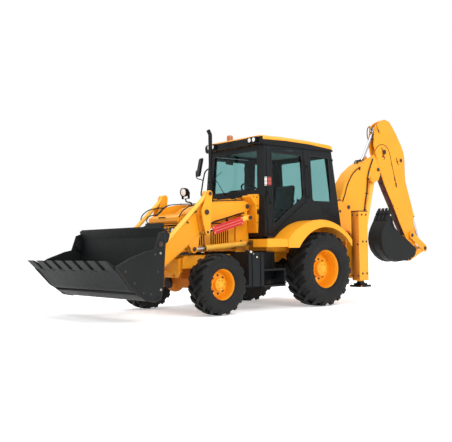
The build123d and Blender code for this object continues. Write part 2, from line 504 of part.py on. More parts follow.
# ---------------------------------------------------------------- boom
BY = 117      # boom half width
boom = prism([(-1356, 850), (-1356, 1190), (-1290, 1285), (-1092, 1314), (-960, 1420), (-885, 1530), (-862, 1650), (-872, 1752), (-940, 1830),
              (-1012, 1850), (-1045, 1900), (-1105, 2029), (-1192, 2210), (-1347, 2392), (-1575, 2545), (-1808, 2655), (-2076, 2785), (-2150, 2850), (-2230, 2900),
              (-2420, 2980), (-2560, 2900), (-2560, 2780), (-2330, 2520), (-1890, 2300), (-1775, 1720), (-1700, 1300), (-1600, 860), (-1470, 760)], yb - BY, yb + BY)
boom = boom + disc(BOOM_PIN, 118, yb - BY, yb + BY)
boom = boom - disc(BOOM_PIN, 34 + RUN, yb - 200, yb + 200)
# the nose is a tongue between the dipper's plates, its side cheeks end in front of it
nose_cut = [prism([(-2076, 3100), (-2076, 2785), (-2162, 2697), (-2230, 2597), (-2262, 2520), (-2700, 2520), (-2700, 3100)], yb + s * 46, yb + s * 130) for s in (1, -1)]
pockets = [prism([(-2040, 3100), (-2040, 2600), (-2060, 2580), (-2185, 2558), (-2226, 2480), (-2292, 2260), (-2700, 2260), (-2700, 3100)], yb + s * 46, yb + s * 77) for s in (1, -1)]
boom = cut(boom, *nose_cut, *pockets)
# the box is open at the top for the dipper's head, and hollow along the dipper ram
head_room = prism([(-1700, 3100), (-1860, 2640), (-1905, 2600), (-2060, 2590), (-2245, 2735), (-2245, 3100)], yb - 80, yb + 80)
ram_line = [along(DIP_RAM_LOW, DIP_RAM_TOP, d) for d in (-78, 1300)]
tube_room = prism([(ram_line[0][0] + 64, ram_line[0][1] + 40), (ram_line[0][0] - 61, ram_line[0][1] - 38), (ram_line[1][0] - 92, ram_line[1][1] - 57), (ram_line[1][0] + 70, ram_line[1][1] + 43)], yb - 70, yb + 70)
boom = cut(boom, head_room, tube_room)
# cheeks that hold the boom ram's barrel
for s in (1, -1):
    boom = boom + prism([(-1950, 2300), (-2110, 2560), (-2248, 2560), (-2268, 2487), (-2259, 2392), (-2195, 2290), (-2050, 2230)], yb + s * 78, yb + s * BY)
ram_room = prism([(-1900, 2200), (-1990, 2400), (-2110, 2545), (-2190, 2575), (-2268, 2550), (-2310, 2480), (-2330, 2400), (-2260, 2200)], yb - 66, yb + 66)
boom = boom - ram_room
boom = add(boom, disc(DIP_RAM_LOW, 30, yb - BY - 8, yb + BY + 8), disc(BOOM_RAM_TOP, 30, yb - BY - 8, yb + BY + 8), disc(BOOM_TIP, 36, yb - 90, yb + 90))
node("boom", boom)

b, r = ram(BOOM_RAM_TOP, BOOM_RAM_LOW, yb, 120, 60, 34, 30, 1380, 800, 625)
node("boom_barrel", b); node("boom_rod", r)
b, r = ram(DIP_RAM_LOW, DIP_RAM_TOP, yb, 88, 54, 30, 30, 1040, 880, 665)
node("dipper_barrel", b); node("dipper_rod", r)

# dipper: two head plates, box below
DY = 70
dip = prism([(-2170, 3250), (-2150, 3120), (-2142, 2990), (-2178, 2870), (-2232, 2700), (-2335, 2465), (-2430, 2262), (-2520, 2116), (-2715, 1822), (-2890, 1523), (-3085, 1219),
             (-3310, 860), (-3390, 820), (-3450, 880), (-3460, 1100), (-3440, 1320), (-3335, 1840), (-3267, 2010), (-3205, 2160), (-3152, 2330), (-3140, 2600), (-3138, 2780), (-3105, 2920),
             (-3026, 3062), (-2871, 3264), (-2750, 3400), (-2654, 3497), (-2500, 3530), (-2300, 3440), (-2180, 3360)], yb - DY, yb + DY)
# room for the boom's nose, the dipper ram's eye and the bucket ram inside the plates
room = add(prism([(-2100, 3500), (-2100, 2440), (-2330, 2440), (-2500, 2470), (-2660, 2640), (-2660, 2980), (-2480, 3140), (-2380, 3460), (-2200, 3520)], yb - 52, yb + 52),
           prism([(-2890, 2860), (-3100, 2900), (-3300, 2700), (-3600, 2000), (-3600, 1420), (-3400, 1420), (-3375, 1600), (-3180, 2100), (-2925, 2560)], yb - 60, yb + 60))
dip = dip - room - disc(BOOM_TIP, 36 + RUN, yb - 200, yb + 200)
# nose for the bucket pin is narrower
dip = cut(dip, *[prism([(-3200, 1080), (-3560, 1080), (-3560, 700), (-3100, 700)], yb + s * 58, yb + s * 130) for s in (1, -1)])
dip = add(dip, disc(DIG_PIN, 62, yb - 58, yb + 58))
dip = dip - disc(DIG_PIN, 28 + RUN, yb - 200, yb + 200)
dip = add(dip, disc(BKT_RAM_TOP, 28, yb - DY - 6, yb + DY + 6), disc(DIG_LEVER, 28, yb - 122, yb + 122), disc(DIG_LEVER, 46, yb - 98, yb + 98), disc(DIP_RAM_TOP, 30, yb + 50, yb + 74), disc(DIP_RAM_TOP, 30, yb - 74, yb - 50))
node("dipper", dip)

b, r = ram(BKT_RAM_TOP, DIG_Q, yb, 70, 46, 27, 28, 1230, 800, 450)
node("bucket_barrel", b); node("bucket_rod", r)

# bucket lever (two plates) and link (two plates)
lv = []
for s in (1, -1):
    lv.append(strut(DIG_LEVER, DIG_Q, 72, yb + s * 104, yb + s * 120) - disc(DIG_LEVER, 28 + RUN, yb - 200, yb + 200))
lv = [lv[i] + disc(DIG_Q, 26, yb + s * 78, yb + s * 128) for i, s in enumerate((1, -1))]
node("bucket_lever", lv)
lkp = [strut(DIG_Q, DIG_N, 46, yb + s * 84, yb + s * 98) + disc(DIG_N, 26, yb + s * 84, yb + s * 106) - disc(DIG_Q, 26 + RUN, yb - 200, yb + 200) for s in (1, -1)]
node("bucket_link", lkp)

# rear bucket: curved shell, two side plates, ears, teeth
BW = 165
SHELL = [(-3080, 728), (-2900, 700), (-2700, 690), (-2600, 705), (-2490, 748), (-2380, 815), (-2260, 930), (-2205, 1040), (-2190, 1150), (-2215, 1270), (-2270, 1370), (-2350, 1480), (-2460, 1600)]
sh = prism(plate_line(SHELL, 22), yb - BW, yb + BW)
spl = [prism(SHELL + [(-2560, 1590), (-2582, 1450), (-2640, 1360), (-2760, 1262), (-2844, 1225), (-3095, 1090), (-3262, 985), (-3320, 905), (-3318, 830), (-3240, 765)], yb + s * (BW - 18), yb + s * BW) for s in (1, -1)]
ear2 = [prism([(-3150, 690), (-2900, 705), (-2900, 880), (-3240, 1000), (-3420, 985), (-3470, 910), (-3430, 840), (-3260, 720), (-3200, 687)], yb + s * 64, yb + s * 80) for s in (1, -1)]
tth = []
for i in range(4):
    y = yb - 132 + i * 88
    tth.append(prism([(-2425, 1530), (-2480, 1560), (-2556, 1756), (-2536, 1760), (-2440, 1650)], y - 25, y + 25))
dig = add(sh, *spl, *ear2, *tth, disc(DIG_PIN, 28, yb - 83, yb + 83))
node("backhoe_bucket", dig)

# ---------------------------------------------------------------- write
if __name__ == "__main__":
    os.makedirs("parts", exist_ok=True)
    boxes = [s.bounding_box() for v in NODES.values() for s in v]
    lo = [min(getattr(b.min, k) for b in boxes) for k in "XYZ"]
    hi = [max(getattr(b.max, k) for b in boxes) for k in "XYZ"]
    shift = Vector(-(lo[0] + hi[0]) / 2, -(lo[1] + hi[1]) / 2, -lo[2])
    print("bbox", lo, hi, "shift", shift)
    for old in os.listdir("parts"):
        os.remove(os.path.join("parts", old))
    for name, sol in NODES.items():
        moved = [s.moved(Location(shift)) for s in sol]
        shape = moved[0] if len(moved) == 1 else Compound(children=moved)
        export_step(shape, f"parts/{name}.step")
    print(len(NODES), "nodes")
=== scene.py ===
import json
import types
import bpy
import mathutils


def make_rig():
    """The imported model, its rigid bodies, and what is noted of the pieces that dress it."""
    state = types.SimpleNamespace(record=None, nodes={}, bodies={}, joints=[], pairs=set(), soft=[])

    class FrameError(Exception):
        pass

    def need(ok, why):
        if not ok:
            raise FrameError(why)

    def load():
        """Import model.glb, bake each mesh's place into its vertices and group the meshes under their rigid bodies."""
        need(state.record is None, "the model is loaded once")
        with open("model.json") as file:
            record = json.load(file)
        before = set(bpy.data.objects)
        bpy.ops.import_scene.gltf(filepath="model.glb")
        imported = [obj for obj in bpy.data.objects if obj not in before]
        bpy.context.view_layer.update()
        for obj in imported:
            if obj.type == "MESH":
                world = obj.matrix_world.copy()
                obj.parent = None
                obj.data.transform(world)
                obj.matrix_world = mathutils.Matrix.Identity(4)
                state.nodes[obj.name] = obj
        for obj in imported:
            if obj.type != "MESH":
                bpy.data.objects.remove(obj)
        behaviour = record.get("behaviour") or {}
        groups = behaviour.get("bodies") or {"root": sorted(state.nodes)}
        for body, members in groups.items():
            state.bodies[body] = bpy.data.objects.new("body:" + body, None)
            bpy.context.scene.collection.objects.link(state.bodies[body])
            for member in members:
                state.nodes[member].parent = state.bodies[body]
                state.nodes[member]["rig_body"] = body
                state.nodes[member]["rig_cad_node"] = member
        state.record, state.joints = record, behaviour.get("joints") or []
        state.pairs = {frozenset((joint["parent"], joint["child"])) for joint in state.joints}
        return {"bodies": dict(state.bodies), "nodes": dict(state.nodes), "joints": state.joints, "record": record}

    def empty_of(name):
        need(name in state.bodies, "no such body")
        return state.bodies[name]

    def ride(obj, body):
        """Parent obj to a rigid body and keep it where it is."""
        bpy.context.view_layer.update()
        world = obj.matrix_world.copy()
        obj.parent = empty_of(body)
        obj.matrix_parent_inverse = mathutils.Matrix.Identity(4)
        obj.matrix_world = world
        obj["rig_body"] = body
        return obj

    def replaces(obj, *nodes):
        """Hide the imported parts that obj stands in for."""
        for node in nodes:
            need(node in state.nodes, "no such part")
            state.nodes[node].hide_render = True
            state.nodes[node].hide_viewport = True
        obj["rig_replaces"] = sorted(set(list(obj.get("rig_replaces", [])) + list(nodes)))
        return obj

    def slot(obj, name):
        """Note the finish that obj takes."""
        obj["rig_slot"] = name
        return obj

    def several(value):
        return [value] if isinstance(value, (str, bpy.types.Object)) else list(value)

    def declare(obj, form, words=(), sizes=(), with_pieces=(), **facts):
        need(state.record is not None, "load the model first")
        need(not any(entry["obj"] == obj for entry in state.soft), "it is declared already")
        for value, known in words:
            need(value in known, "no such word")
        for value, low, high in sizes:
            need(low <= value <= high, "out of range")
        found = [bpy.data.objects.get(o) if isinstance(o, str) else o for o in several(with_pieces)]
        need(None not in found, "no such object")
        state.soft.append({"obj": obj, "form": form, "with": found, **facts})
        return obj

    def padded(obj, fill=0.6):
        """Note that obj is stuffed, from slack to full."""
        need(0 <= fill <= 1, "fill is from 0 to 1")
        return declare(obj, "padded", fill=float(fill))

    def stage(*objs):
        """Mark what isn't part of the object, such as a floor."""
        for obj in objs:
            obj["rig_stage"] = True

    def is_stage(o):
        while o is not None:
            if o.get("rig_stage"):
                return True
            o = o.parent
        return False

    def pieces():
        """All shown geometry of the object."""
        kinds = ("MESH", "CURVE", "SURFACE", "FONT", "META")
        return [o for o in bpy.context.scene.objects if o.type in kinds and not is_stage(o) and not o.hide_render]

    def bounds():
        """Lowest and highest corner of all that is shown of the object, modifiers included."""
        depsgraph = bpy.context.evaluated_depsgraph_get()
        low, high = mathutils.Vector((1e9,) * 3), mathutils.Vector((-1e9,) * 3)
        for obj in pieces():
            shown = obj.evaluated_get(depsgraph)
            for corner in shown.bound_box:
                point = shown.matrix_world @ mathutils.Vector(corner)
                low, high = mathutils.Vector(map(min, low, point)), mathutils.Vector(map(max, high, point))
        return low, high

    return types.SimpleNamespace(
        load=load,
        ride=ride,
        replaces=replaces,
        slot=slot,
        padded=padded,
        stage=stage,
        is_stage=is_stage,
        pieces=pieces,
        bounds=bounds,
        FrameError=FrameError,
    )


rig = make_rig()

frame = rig.load()

import bpy, bmesh, json, math, random
from math import sin, cos, pi, radians, hypot, atan2, sqrt
from mathutils import Vector, Matrix

CAD_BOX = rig.bounds()
JOINT = {j["name"]: j for j in frame["joints"]}
OX = JOINT["rear_wheel_left_spin"]["pos_m"][0]      # rear axle, from which lengths are given
NODES = frame["nodes"]


def NODE_BODY(name):
    return NODES[name]["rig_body"]

random.seed(7)
scene = bpy.context.scene


def V(x, y, z):
    "millimetres from the ground under the rear axle -> metres in the row frame"
    return Vector((x / 1000 + OX, y / 1000, z / 1000))


# ------------------------------------------------------------------ materials
MAT = {}


def new_mat(name):
    m = bpy.data.materials.new(name)
    m.use_nodes = True
    nt = m.node_tree
    bsdf = nt.nodes["Principled BSDF"]
    MAT[name] = m
    return m, nt, bsdf


def link(nt, a, b):
    nt.links.new(a, b)


def noise(nt, coord, scale, detail=4, rough=0.55, dist=0.0):
    n = nt.nodes.new("ShaderNodeTexNoise")
    n.inputs["Scale"].default_value = scale
    n.inputs["Detail"].default_value = detail
    n.inputs["Roughness"].default_value = rough
    n.inputs["Distortion"].default_value = dist
    link(nt, coord, n.inputs["Vector"])
    return n.outputs["Fac"]


def ramp(nt, fac, stops):
    r = nt.nodes.new("ShaderNodeValToRGB")
    e = r.color_ramp.elements
    while len(e) < len(stops):
        e.new(0.5)
    for k, (p, c) in zip(e, stops):
        k.position = p
        k.color = (*c, 1) if len(c) == 3 else c
    link(nt, fac, r.inputs["Fac"])
    return r.outputs["Color"]


def mix(nt, fac, a, b, mode="MIX"):
    m = nt.nodes.new("ShaderNodeMix")
    m.data_type = "RGBA"
    m.blend_type = mode
    for sock, v in ((m.inputs["Factor"], fac), (m.inputs["A"], a), (m.inputs["B"], b)):
        if isinstance(v, (int, float)):
            sock.default_value = v
        elif isinstance(v, tuple):
            sock.default_value = (*v, 1)
        else:
            link(nt, v, sock)
    return m.outputs["Result"]


def math_node(nt, op, a, b=0.0, clamp=False):
    m = nt.nodes.new("ShaderNodeMath")
    m.operation = op
    m.use_clamp = clamp
    for i, v in enumerate((a, b)):
        if isinstance(v, (int, float)):
            m.inputs[i].default_value = v
        else:
            link(nt, v, m.inputs[i])
    return m.outputs[0]


def bump(nt, bsdf, height, strength, dist=0.01, chain=None):
    b = nt.nodes.new("ShaderNodeBump")
    b.inputs["Strength"].default_value = strength
    b.inputs["Distance"].default_value = dist
    link(nt, height, b.inputs["Height"])
    if chain is not None:
        link(nt, chain, b.inputs["Normal"])
    link(nt, b.outputs["Normal"], bsdf.inputs["Normal"])
    return b.outputs["Normal"]


def coords(nt):
    t = nt.nodes.new("ShaderNodeTexCoord")
    return t.outputs["Object"]


def paint(name, rgb, rough=0.35, spread=0.10, dirt=0.25, dirt_rgb=(0.16, 0.10, 0.05), wear=0.0, wear_rgb=(0.35, 0.33, 0.31), coat=0.0, peel=0.04, low_dirt=True, spec=0.3):
    m, nt, b = new_mat(name)
    b.inputs["Specular IOR Level"].default_value = spec
    co = coords(nt)
    big = noise(nt, co, 1.7, 3)
    mid = noise(nt, co, 11.0, 6, 0.62, 0.4)
    fine = noise(nt, co, 95.0, 4)
    dark = tuple(c * (1 - spread) for c in rgb)
    lite = tuple(min(1, c * (1 + spread * 0.6)) for c in rgb)
    base = ramp(nt, big, [(0.35, dark), (0.65, lite)])
    # grime: patches, heavier near the ground
    sep = nt.nodes.new("ShaderNodeSeparateXYZ")
    link(nt, co, sep.inputs[0])
    h = math_node(nt, "MULTIPLY", sep.outputs["Z"], -0.42 if low_dirt else 0.0)
    h = math_node(nt, "ADD", h, 0.62 if low_dirt else 0.35, clamp=True)
    g = ramp(nt, mid, [(0.48, (0, 0, 0)), (0.72, (1, 1, 1))])
    gm = nt.nodes.new("ShaderNodeSeparateColor")
    link(nt, g, gm.inputs[0])
    gf = math_node(nt, "MULTIPLY", gm.outputs[0], h)
    gf = math_node(nt, "MULTIPLY", gf, dirt)
    col = mix(nt, gf, base, dirt_rgb)
    if wear > 0:
        geo = nt.nodes.new("ShaderNodeNewGeometry")
        w = ramp(nt, geo.outputs["Pointiness"], [(0.50, (0, 0, 0)), (0.58, (1, 1, 1))])
        ws = nt.nodes.new("ShaderNodeSeparateColor")
        link(nt, w, ws.inputs[0])
        wf = math_node(nt, "MULTIPLY", ws.outputs[0], fine)
        wf = math_node(nt, "MULTIPLY", wf, wear, clamp=True)
        col = mix(nt, wf, col, wear_rgb)
    link(nt, col, b.inputs["Base Color"])
    r = math_node(nt, "MULTIPLY", mid, 0.22)
    r = math_node(nt, "ADD", r, rough - 0.10, clamp=True)
    link(nt, r, b.inputs["Roughness"])
    b.inputs["Coat Weight"].default_value = coat
    b.inputs["Coat Roughness"].default_value = 0.12
    bump(nt, b, fine, peel, 0.002)
    return m


def plain(name, rgb, rough=0.5, metal=0.0, scale=60.0, vary=0.12, bump_s=0.08, bump_d=0.002, rough_var=0.15, spec=0.5, coat=0.0):
    m, nt, b = new_mat(name)
    co = coords(nt)
    n1 = noise(nt, co, scale, 5)
    n2 = noise(nt, co, scale * 0.12, 3)
    a = tuple(c * (1 - vary) for c in rgb)
    z = tuple(min(1, c * (1 + vary)) for c in rgb)
    link(nt, ramp(nt, n2, [(0.3, a), (0.7, z)]), b.inputs["Base Color"])
    r = math_node(nt, "MULTIPLY", n1, rough_var)
    r = math_node(nt, "ADD", r, rough - rough_var / 2, clamp=True)
    link(nt, r, b.inputs["Roughness"])
    b.inputs["Metallic"].default_value = metal
    b.inputs["Specular IOR Level"].default_value = spec
    b.inputs["Coat Weight"].default_value = coat
    bump(nt, b, n1, bump_s, bump_d)
    return m


YEL = (0.81, 0.312, 0.009)
yellow = paint("yellow_paint", YEL, 0.40, 0.05, 0.26, (0.33, 0.12, 0.02), 0.10, (0.90, 0.48, 0.10), coat=0.06, spec=0.26)
yellow_lite = paint("yellow_paint_light", (0.82, 0.43, 0.05), 0.42, 0.05, 0.28, (0.40, 0.18, 0.04), 0.0, coat=0.05, spec=0.28)
orange_shade = paint("shaded_paint", (0.50, 0.15, 0.012), 0.55, 0.08, 0.45, (0.14, 0.05, 0.015), 0.0, spec=0.15)
charcoal = paint("charcoal_paint", (0.0065, 0.0082, 0.0092), 0.44, 0.10, 0.22, (0.022, 0.021, 0.019), 0.10, (0.04, 0.042, 0.044), coat=0.04, spec=0.14)
black = paint("black_paint", (0.0042, 0.0046, 0.0050), 0.42, 0.12, 0.20, (0.018, 0.017, 0.015), 0.0, coat=0.06, spec=0.16)
bucket_mat = paint("bucket_steel", (0.0055, 0.0068, 0.0074), 0.50, 0.20, 0.45, (0.019, 0.018, 0.016), 0.26, (0.075, 0.073, 0.07), peel=0.12, spec=0.13)
red = paint("red_paint", (0.46, 0.009, 0.012), 0.42, 0.08, 0.15, (0.22, 0.02, 0.02), 0.06, (0.60, 0.16, 0.15), coat=0.05)
# dark brown that stands for yellow paint in deep shade: painted shade
brown = paint("brown_primer", (0.060, 0.018, 0.010), 0.5, 0.15, 0.35, (0.03, 0.018, 0.012), 0.0, spec=0.2)
chrome = plain("chrome_rod", (0.50, 0.50, 0.52), 0.20, 1.0, 40, 0.06, 0.02, rough_var=0.06)
steel = plain("bare_steel", (0.36, 0.35, 0.34), 0.42, 1.0, 70, 0.20, 0.10)
pin_steel = plain("pin_steel", (0.055, 0.040, 0.030), 0.50, 0.5, 70, 0.25, 0.12, spec=0.3)
brass_fit = plain("zinc_fitting", (0.62, 0.58, 0.48), 0.35, 1.0, 70, 0.12, 0.06)
cast = plain("cast_iron", (0.020, 0.018, 0.017), 0.62, 0.1, 120, 0.25, 0.22, 0.003, spec=0.25)
rubber = plain("rubber", (0.008, 0.008, 0.008), 0.62, 0.0, 90, 0.2, 0.10, spec=0.25)
hose_mat = plain("hose_rubber", (0.0065, 0.0065, 0.007), 0.50, 0.0, 200, 0.2, 0.10, spec=0.3)
plastic = plain("matte_plastic", (0.011, 0.011, 0.0115), 0.55, 0.0, 260, 0.12, 0.16, 0.001, spec=0.25)
fabric = None
amber = plain("amber_lens", (0.42, 0.12, 0.014), 0.18, 0.0, 30, 0.08, 0.02, spec=0.6, coat=0.4)
white_lens = plain("lamp_lens", (0.72, 0.72, 0.70), 0.12, 0.0, 30, 0.05, 0.02, spec=0.7, coat=0.5)
red_lens = plain("red_lens", (0.34, 0.035, 0.022), 0.16, 0.0, 30, 0.08, 0.02, spec=0.6, coat=0.4)
reflector = plain("lamp_reflector", (0.75, 0.75, 0.76), 0.15, 1.0, 30, 0.05, 0.02)
mirror_mat = plain("mirror_face", (0.80, 0.82, 0.83), 0.03, 1.0, 10, 0.02, 0.0, rough_var=0.01)
liner = plain("head_lining", (0.50, 0.51, 0.50), 0.85, 0.0, 220, 0.10, 0.20, spec=0.2)
dash_grey = plain("dash_grey", (0.018, 0.018, 0.0185), 0.6, 0.0, 300, 0.10, 0.18, 0.001, spec=0.25)
weld_mat = paint("weld_bead", (0.70, 0.27, 0.015), 0.5, 0.10, 0.35, (0.30, 0.10, 0.02), 0.0, spec=0.3)


def tyre_material():
    m, nt, b = new_mat("tyre")
    co = coords(nt)
    n1 = noise(nt, co, 70, 6, 0.6)
    n2 = noise(nt, co, 6, 4, 0.6, 0.5)
    col = ramp(nt, n2, [(0.35, (0.0048, 0.0052, 0.0056)), (0.70, (0.0092, 0.0090, 0.0086))])
    # pale dust caught in the grain
    d = ramp(nt, n1, [(0.55, (0, 0, 0)), (0.80, (1, 1, 1))])
    s = nt.nodes.new("ShaderNodeSeparateColor")
    link(nt, d, s.inputs[0])
    f = math_node(nt, "MULTIPLY", s.outputs[0], 0.35)
    link(nt, mix(nt, f, col, (0.019, 0.018, 0.016)), b.inputs["Base Color"])
    b.inputs["Specular IOR Level"].default_value = 0.22
    link(nt, math_node(nt, "ADD", math_node(nt, "MULTIPLY", n1, 0.25), 0.50, clamp=True), b.inputs["Roughness"])
    bump(nt, b, n1, 0.18, 0.003)
    return m


def glass_material():
    m, nt, b = new_mat("cab_glass")
    co = coords(nt)
    n = noise(nt, co, 1.2, 2)
    link(nt, ramp(nt, n, [(0.3, (0.40, 0.615, 0.61)), (0.7, (0.44, 0.65, 0.64))]), b.inputs["Base Color"])
    b.inputs["Transmission Weight"].default_value = 1.0
    b.inputs["Roughness"].default_value = 0.0
    b.inputs["IOR"].default_value = 1.18
    m.use_screen_refraction = False if hasattr(m, "use_screen_refraction") else False
    return m


def fabric_material():
    m, nt, b = new_mat("seat_fabric")
    co = coords(nt)
    w1 = nt.nodes.new("ShaderNodeTexWave"); w1.bands_direction = "X"; w1.inputs["Scale"].default_value = 160
    w2 = nt.nodes.new("ShaderNodeTexWave"); w2.bands_direction = "Y"; w2.inputs["Scale"].default_value = 160
    link(nt, co, w1.inputs["Vector"]); link(nt, co, w2.inputs["Vector"])
    w = math_node(nt, "MULTIPLY", w1.outputs["Fac"], w2.outputs["Fac"])
    n = noise(nt, co, 30, 5)
    f = math_node(nt, "ADD", math_node(nt, "MULTIPLY", w, 0.6), math_node(nt, "MULTIPLY", n, 0.4))
    link(nt, ramp(nt, f, [(0.1, (0.018, 0.018, 0.020)), (0.9, (0.060, 0.060, 0.066))]), b.inputs["Base Color"])
    b.inputs["Roughness"].default_value = 0.9
    b.inputs["Sheen Weight"].default_value = 0.35
    bump(nt, b, f, 0.35, 0.001)
    return m


tyre_mat = tyre_material()
glass = glass_material()
fabric = fabric_material()

# ------------------------------------------------------------------ mesh helpers


def basis(axis):
    a = axis.normalized()
    h = Vector((0, 0, 1)) if abs(a.z) < 0.9 else Vector((1, 0, 0))
    u = a.cross(h).normalized()
    w = a.cross(u).normalized()
    return a, u, w


def ring_join(bm, rings, close_u=True, cap0=True, cap1=True):
    n = len(rings[0])
    for a, b in zip(rings, rings[1:]):
        if len(a) == 1 and len(b) == 1:
            continue
        m = max(len(a), len(b))
        for i in range(m if close_u else m - 1):
            j = (i + 1) % m
            q = []
            for v in (a[i % len(a)], a[j % len(a)], b[j % len(b)], b[i % len(b)]):
                if v not in q:
                    q.append(v)
            if len(q) >= 3:
                try:
                    bm.faces.new(q)
                except ValueError:
                    pass
    for r, c in ((rings[0], cap0), (rings[-1], cap1)):
        if c and len(r) > 2:
            try:
                bm.faces.new(r)
            except ValueError:
                pass


def lathe(bm, c, axis, prof, seg=48, closed=False):
    "prof: (along, radius) in mm; closed: the profile is a loop, for a ring"
    a, u, w = basis(axis)
    rings = []
    for t, r in prof:
        p = c + a * (t / 1000)
        if r < 0.01:
            rings.append([bm.verts.new(p)])
        else:
            rings.append([bm.verts.new(p + (u * cos(2 * pi * i / seg) + w * sin(2 * pi * i / seg)) * (r / 1000)) for i in range(seg)])
    if closed:
        rings.append(rings[0])
        ring_join(bm, rings, cap0=False, cap1=False)
    else:
        ring_join(bm, rings)


def cyl(bm, p, q, r, seg=20, ch=0.0):
    "round bar between two points in metres, radius mm, chamfer mm"
    L = (q - p).length * 1000
    pr = [(0, r - ch), (ch, r), (L - ch, r), (L, r - ch)] if ch else [(0, r), (L, r)]
    lathe(bm, p, q - p, pr, seg)


def box(bm, x0, x1, y0, y1, z0, z1, turn=None):
    c = [V(x, y, z) for x in (x0, x1) for y in (y0, y1) for z in (z0, z1)]
    if turn:
        m = Matrix.Rotation(radians(turn[1]), 4, turn[0])
        o = sum(c, Vector()) / 8
        c = [o + m @ (p - o) for p in c]
    v = [bm.verts.new(p) for p in c]
    for f in ((0, 1, 3, 2), (4, 6, 7, 5), (0, 4, 5, 1), (2, 3, 7, 6), (0, 2, 6, 4), (1, 5, 7, 3)):
        bm.faces.new([v[i] for i in f])


def obox(bm, c, ax, ay, az, sx, sy, sz):
    "box about a centre with its own axes, sizes in mm"
    v = []
    for i in (-1, 1):
        for j in (-1, 1):
            for k in (-1, 1):
                v.append(bm.verts.new(c + ax * (i * sx / 2000) + ay * (j * sy / 2000) + az * (k * sz / 2000)))
    for f in ((0, 1, 3, 2), (4, 6, 7, 5), (0, 4, 5, 1), (2, 3, 7, 6), (0, 2, 6, 4), (1, 5, 7, 3)):
        bm.faces.new([v[i] for i in f])


def rounded(pts, r, n=4):
    "polygon with its corners rounded; r in the polygon's unit"
    out = []
    m = len(pts)
    for i in range(m):
        p0, p1, p2 = Vector(pts[i - 1]), Vector(pts[i]), Vector(pts[(i + 1) % m])
        a, b = (p0 - p1), (p2 - p1)
        la, lb = a.length, b.length
        a.normalize(); b.normalize()
        ang = a.angle(b)
        if ang > radians(172):
            out.append(tuple(p1)); continue
        d = min(r / math.tan(ang / 2), la * 0.45, lb * 0.45)
        s, e = p1 + a * d, p1 + b * d
        for k in range(n + 1):
            t = k / n
            out.append(tuple(s * (1 - t) ** 2 + p1 * 2 * t * (1 - t) + e * t * t))
    return out


def plate(bm, pts, f0, f1):
    "polygon extruded between two placements f0, f1: functions (u, v) -> point"
    a = [bm.verts.new(f0(*p)) for p in pts]
    b = [bm.verts.new(f1(*p)) for p in pts]
    n = len(pts)
    bm.faces.new(a); bm.faces.new(b[::-1])
    for i in range(n):
        j = (i + 1) % n
        bm.faces.new((a[i], b[i], b[j], a[j]))


def prism(bm, pts, y0, y1):
    plate(bm, pts, lambda x, z: V(x, y0, z), lambda x, z: V(x, y1, z))


def prism_x(bm, pts, x0, x1):
    plate(bm, pts, lambda y, z: V(x0, y, z), lambda y, z: V(x1, y, z))


def prism_z(bm, pts, z0, z1):
    plate(bm, pts, lambda x, y: V(x, y, z0), lambda x, y: V(x, y, z1))


def band(bm, outer, inner, f0, f1):
    "closed strip between two loops of equal count, with thickness from f0 to f1"
    n = len(outer)
    o0 = [bm.verts.new(f0(*p)) for p in outer]; i0 = [bm.verts.new(f0(*p)) for p in inner]
    o1 = [bm.verts.new(f1(*p)) for p in outer]; i1 = [bm.verts.new(f1(*p)) for p in inner]
    for i in range(n):
        j = (i + 1) % n
        for q in ((o0[i], o0[j], i0[j], i0[i]), (o1[i], i1[i], i1[j], o1[j]), (o0[i], o1[i], o1[j], o0[j]), (i0[i], i0[j], i1[j], i1[i])):
            bm.faces.new(q)


def offset(pts, d):
    "loop moved outwards by d"
    n = len(pts)
    area = sum(pts[i][0] * pts[(i + 1) % n][1] - pts[(i + 1) % n][0] * pts[i][1] for i in range(n))
    s = 1 if area > 0 else -1
    out = []
    for i in range(n):
        p0, p1, p2 = Vector(pts[i - 1]), Vector(pts[i]), Vector(pts[(i + 1) % n])
        a = (p1 - p0).normalized(); b = (p2 - p1).normalized()
        na = Vector((a.y, -a.x)) * s; nb = Vector((b.y, -b.x)) * s
        m = (na + nb)
        m = m / max(0.25, (1 + na.dot(nb)))
        out.append(tuple(p1 + m * d))
    return out


def smooth_path(pts, per=6):
    out = []
    P = [Vector(p) for p in pts]
    n = len(P)
    for i in range(n - 1):
        p0 = P[max(i - 1, 0)]; p1 = P[i]; p2 = P[i + 1]; p3 = P[min(i + 2, n - 1)]
        for k in range(per):
            t = k / per
            out.append(0.5 * ((2 * p1) + (p2 - p0) * t + (2 * p0 - 5 * p1 + 4 * p2 - p3) * t * t + (3 * p1 - p0 - 3 * p2 + p3) * t ** 3))
    out.append(P[-1])
    return out


def tube(bm, pts, r, seg=10, per=6, smooth=True):
    "tube along points in metres, radius mm"
    P = smooth_path(pts, per) if smooth else [Vector(p) for p in pts]
    rings = []
    t0 = (P[1] - P[0]).normalized()
    _, u, w = basis(t0)
    for i, p in enumerate(P):
        t = (P[min(i + 1, len(P) - 1)] - P[max(i - 1, 0)]).normalized()
        q = t0.rotation_difference(t)
        u = q @ u; w = q @ w; t0 = t
        rings.append([bm.verts.new(p + (u * cos(2 * pi * k / seg) + w * sin(2 * pi * k / seg)) * (r / 1000)) for k in range(seg)])
    ring_join(bm, rings)


def bolt(bm, p, n, r=11, h=8, washer=True):
    "hexagon head on a washer, p in metres, n outward"
    n = n.normalized()
    if washer:
        lathe(bm, p, n, [(0, r * 1.45), (2.2, r * 1.45), (2.2, r * 1.0)], 18)
    lathe(bm, p + n * 0.002, n, [(0, r), (h * 0.75, r), (h, r * 0.82)], 6)


def nut_pin(bm, p, n, r, h=10, lip=5):
    "pin end with a rounded cap"
    lathe(bm, p, n, [(0, r), (h - lip, r), (h - 1, r * 0.93), (h, r * 0.80), (h, 0)], 28)


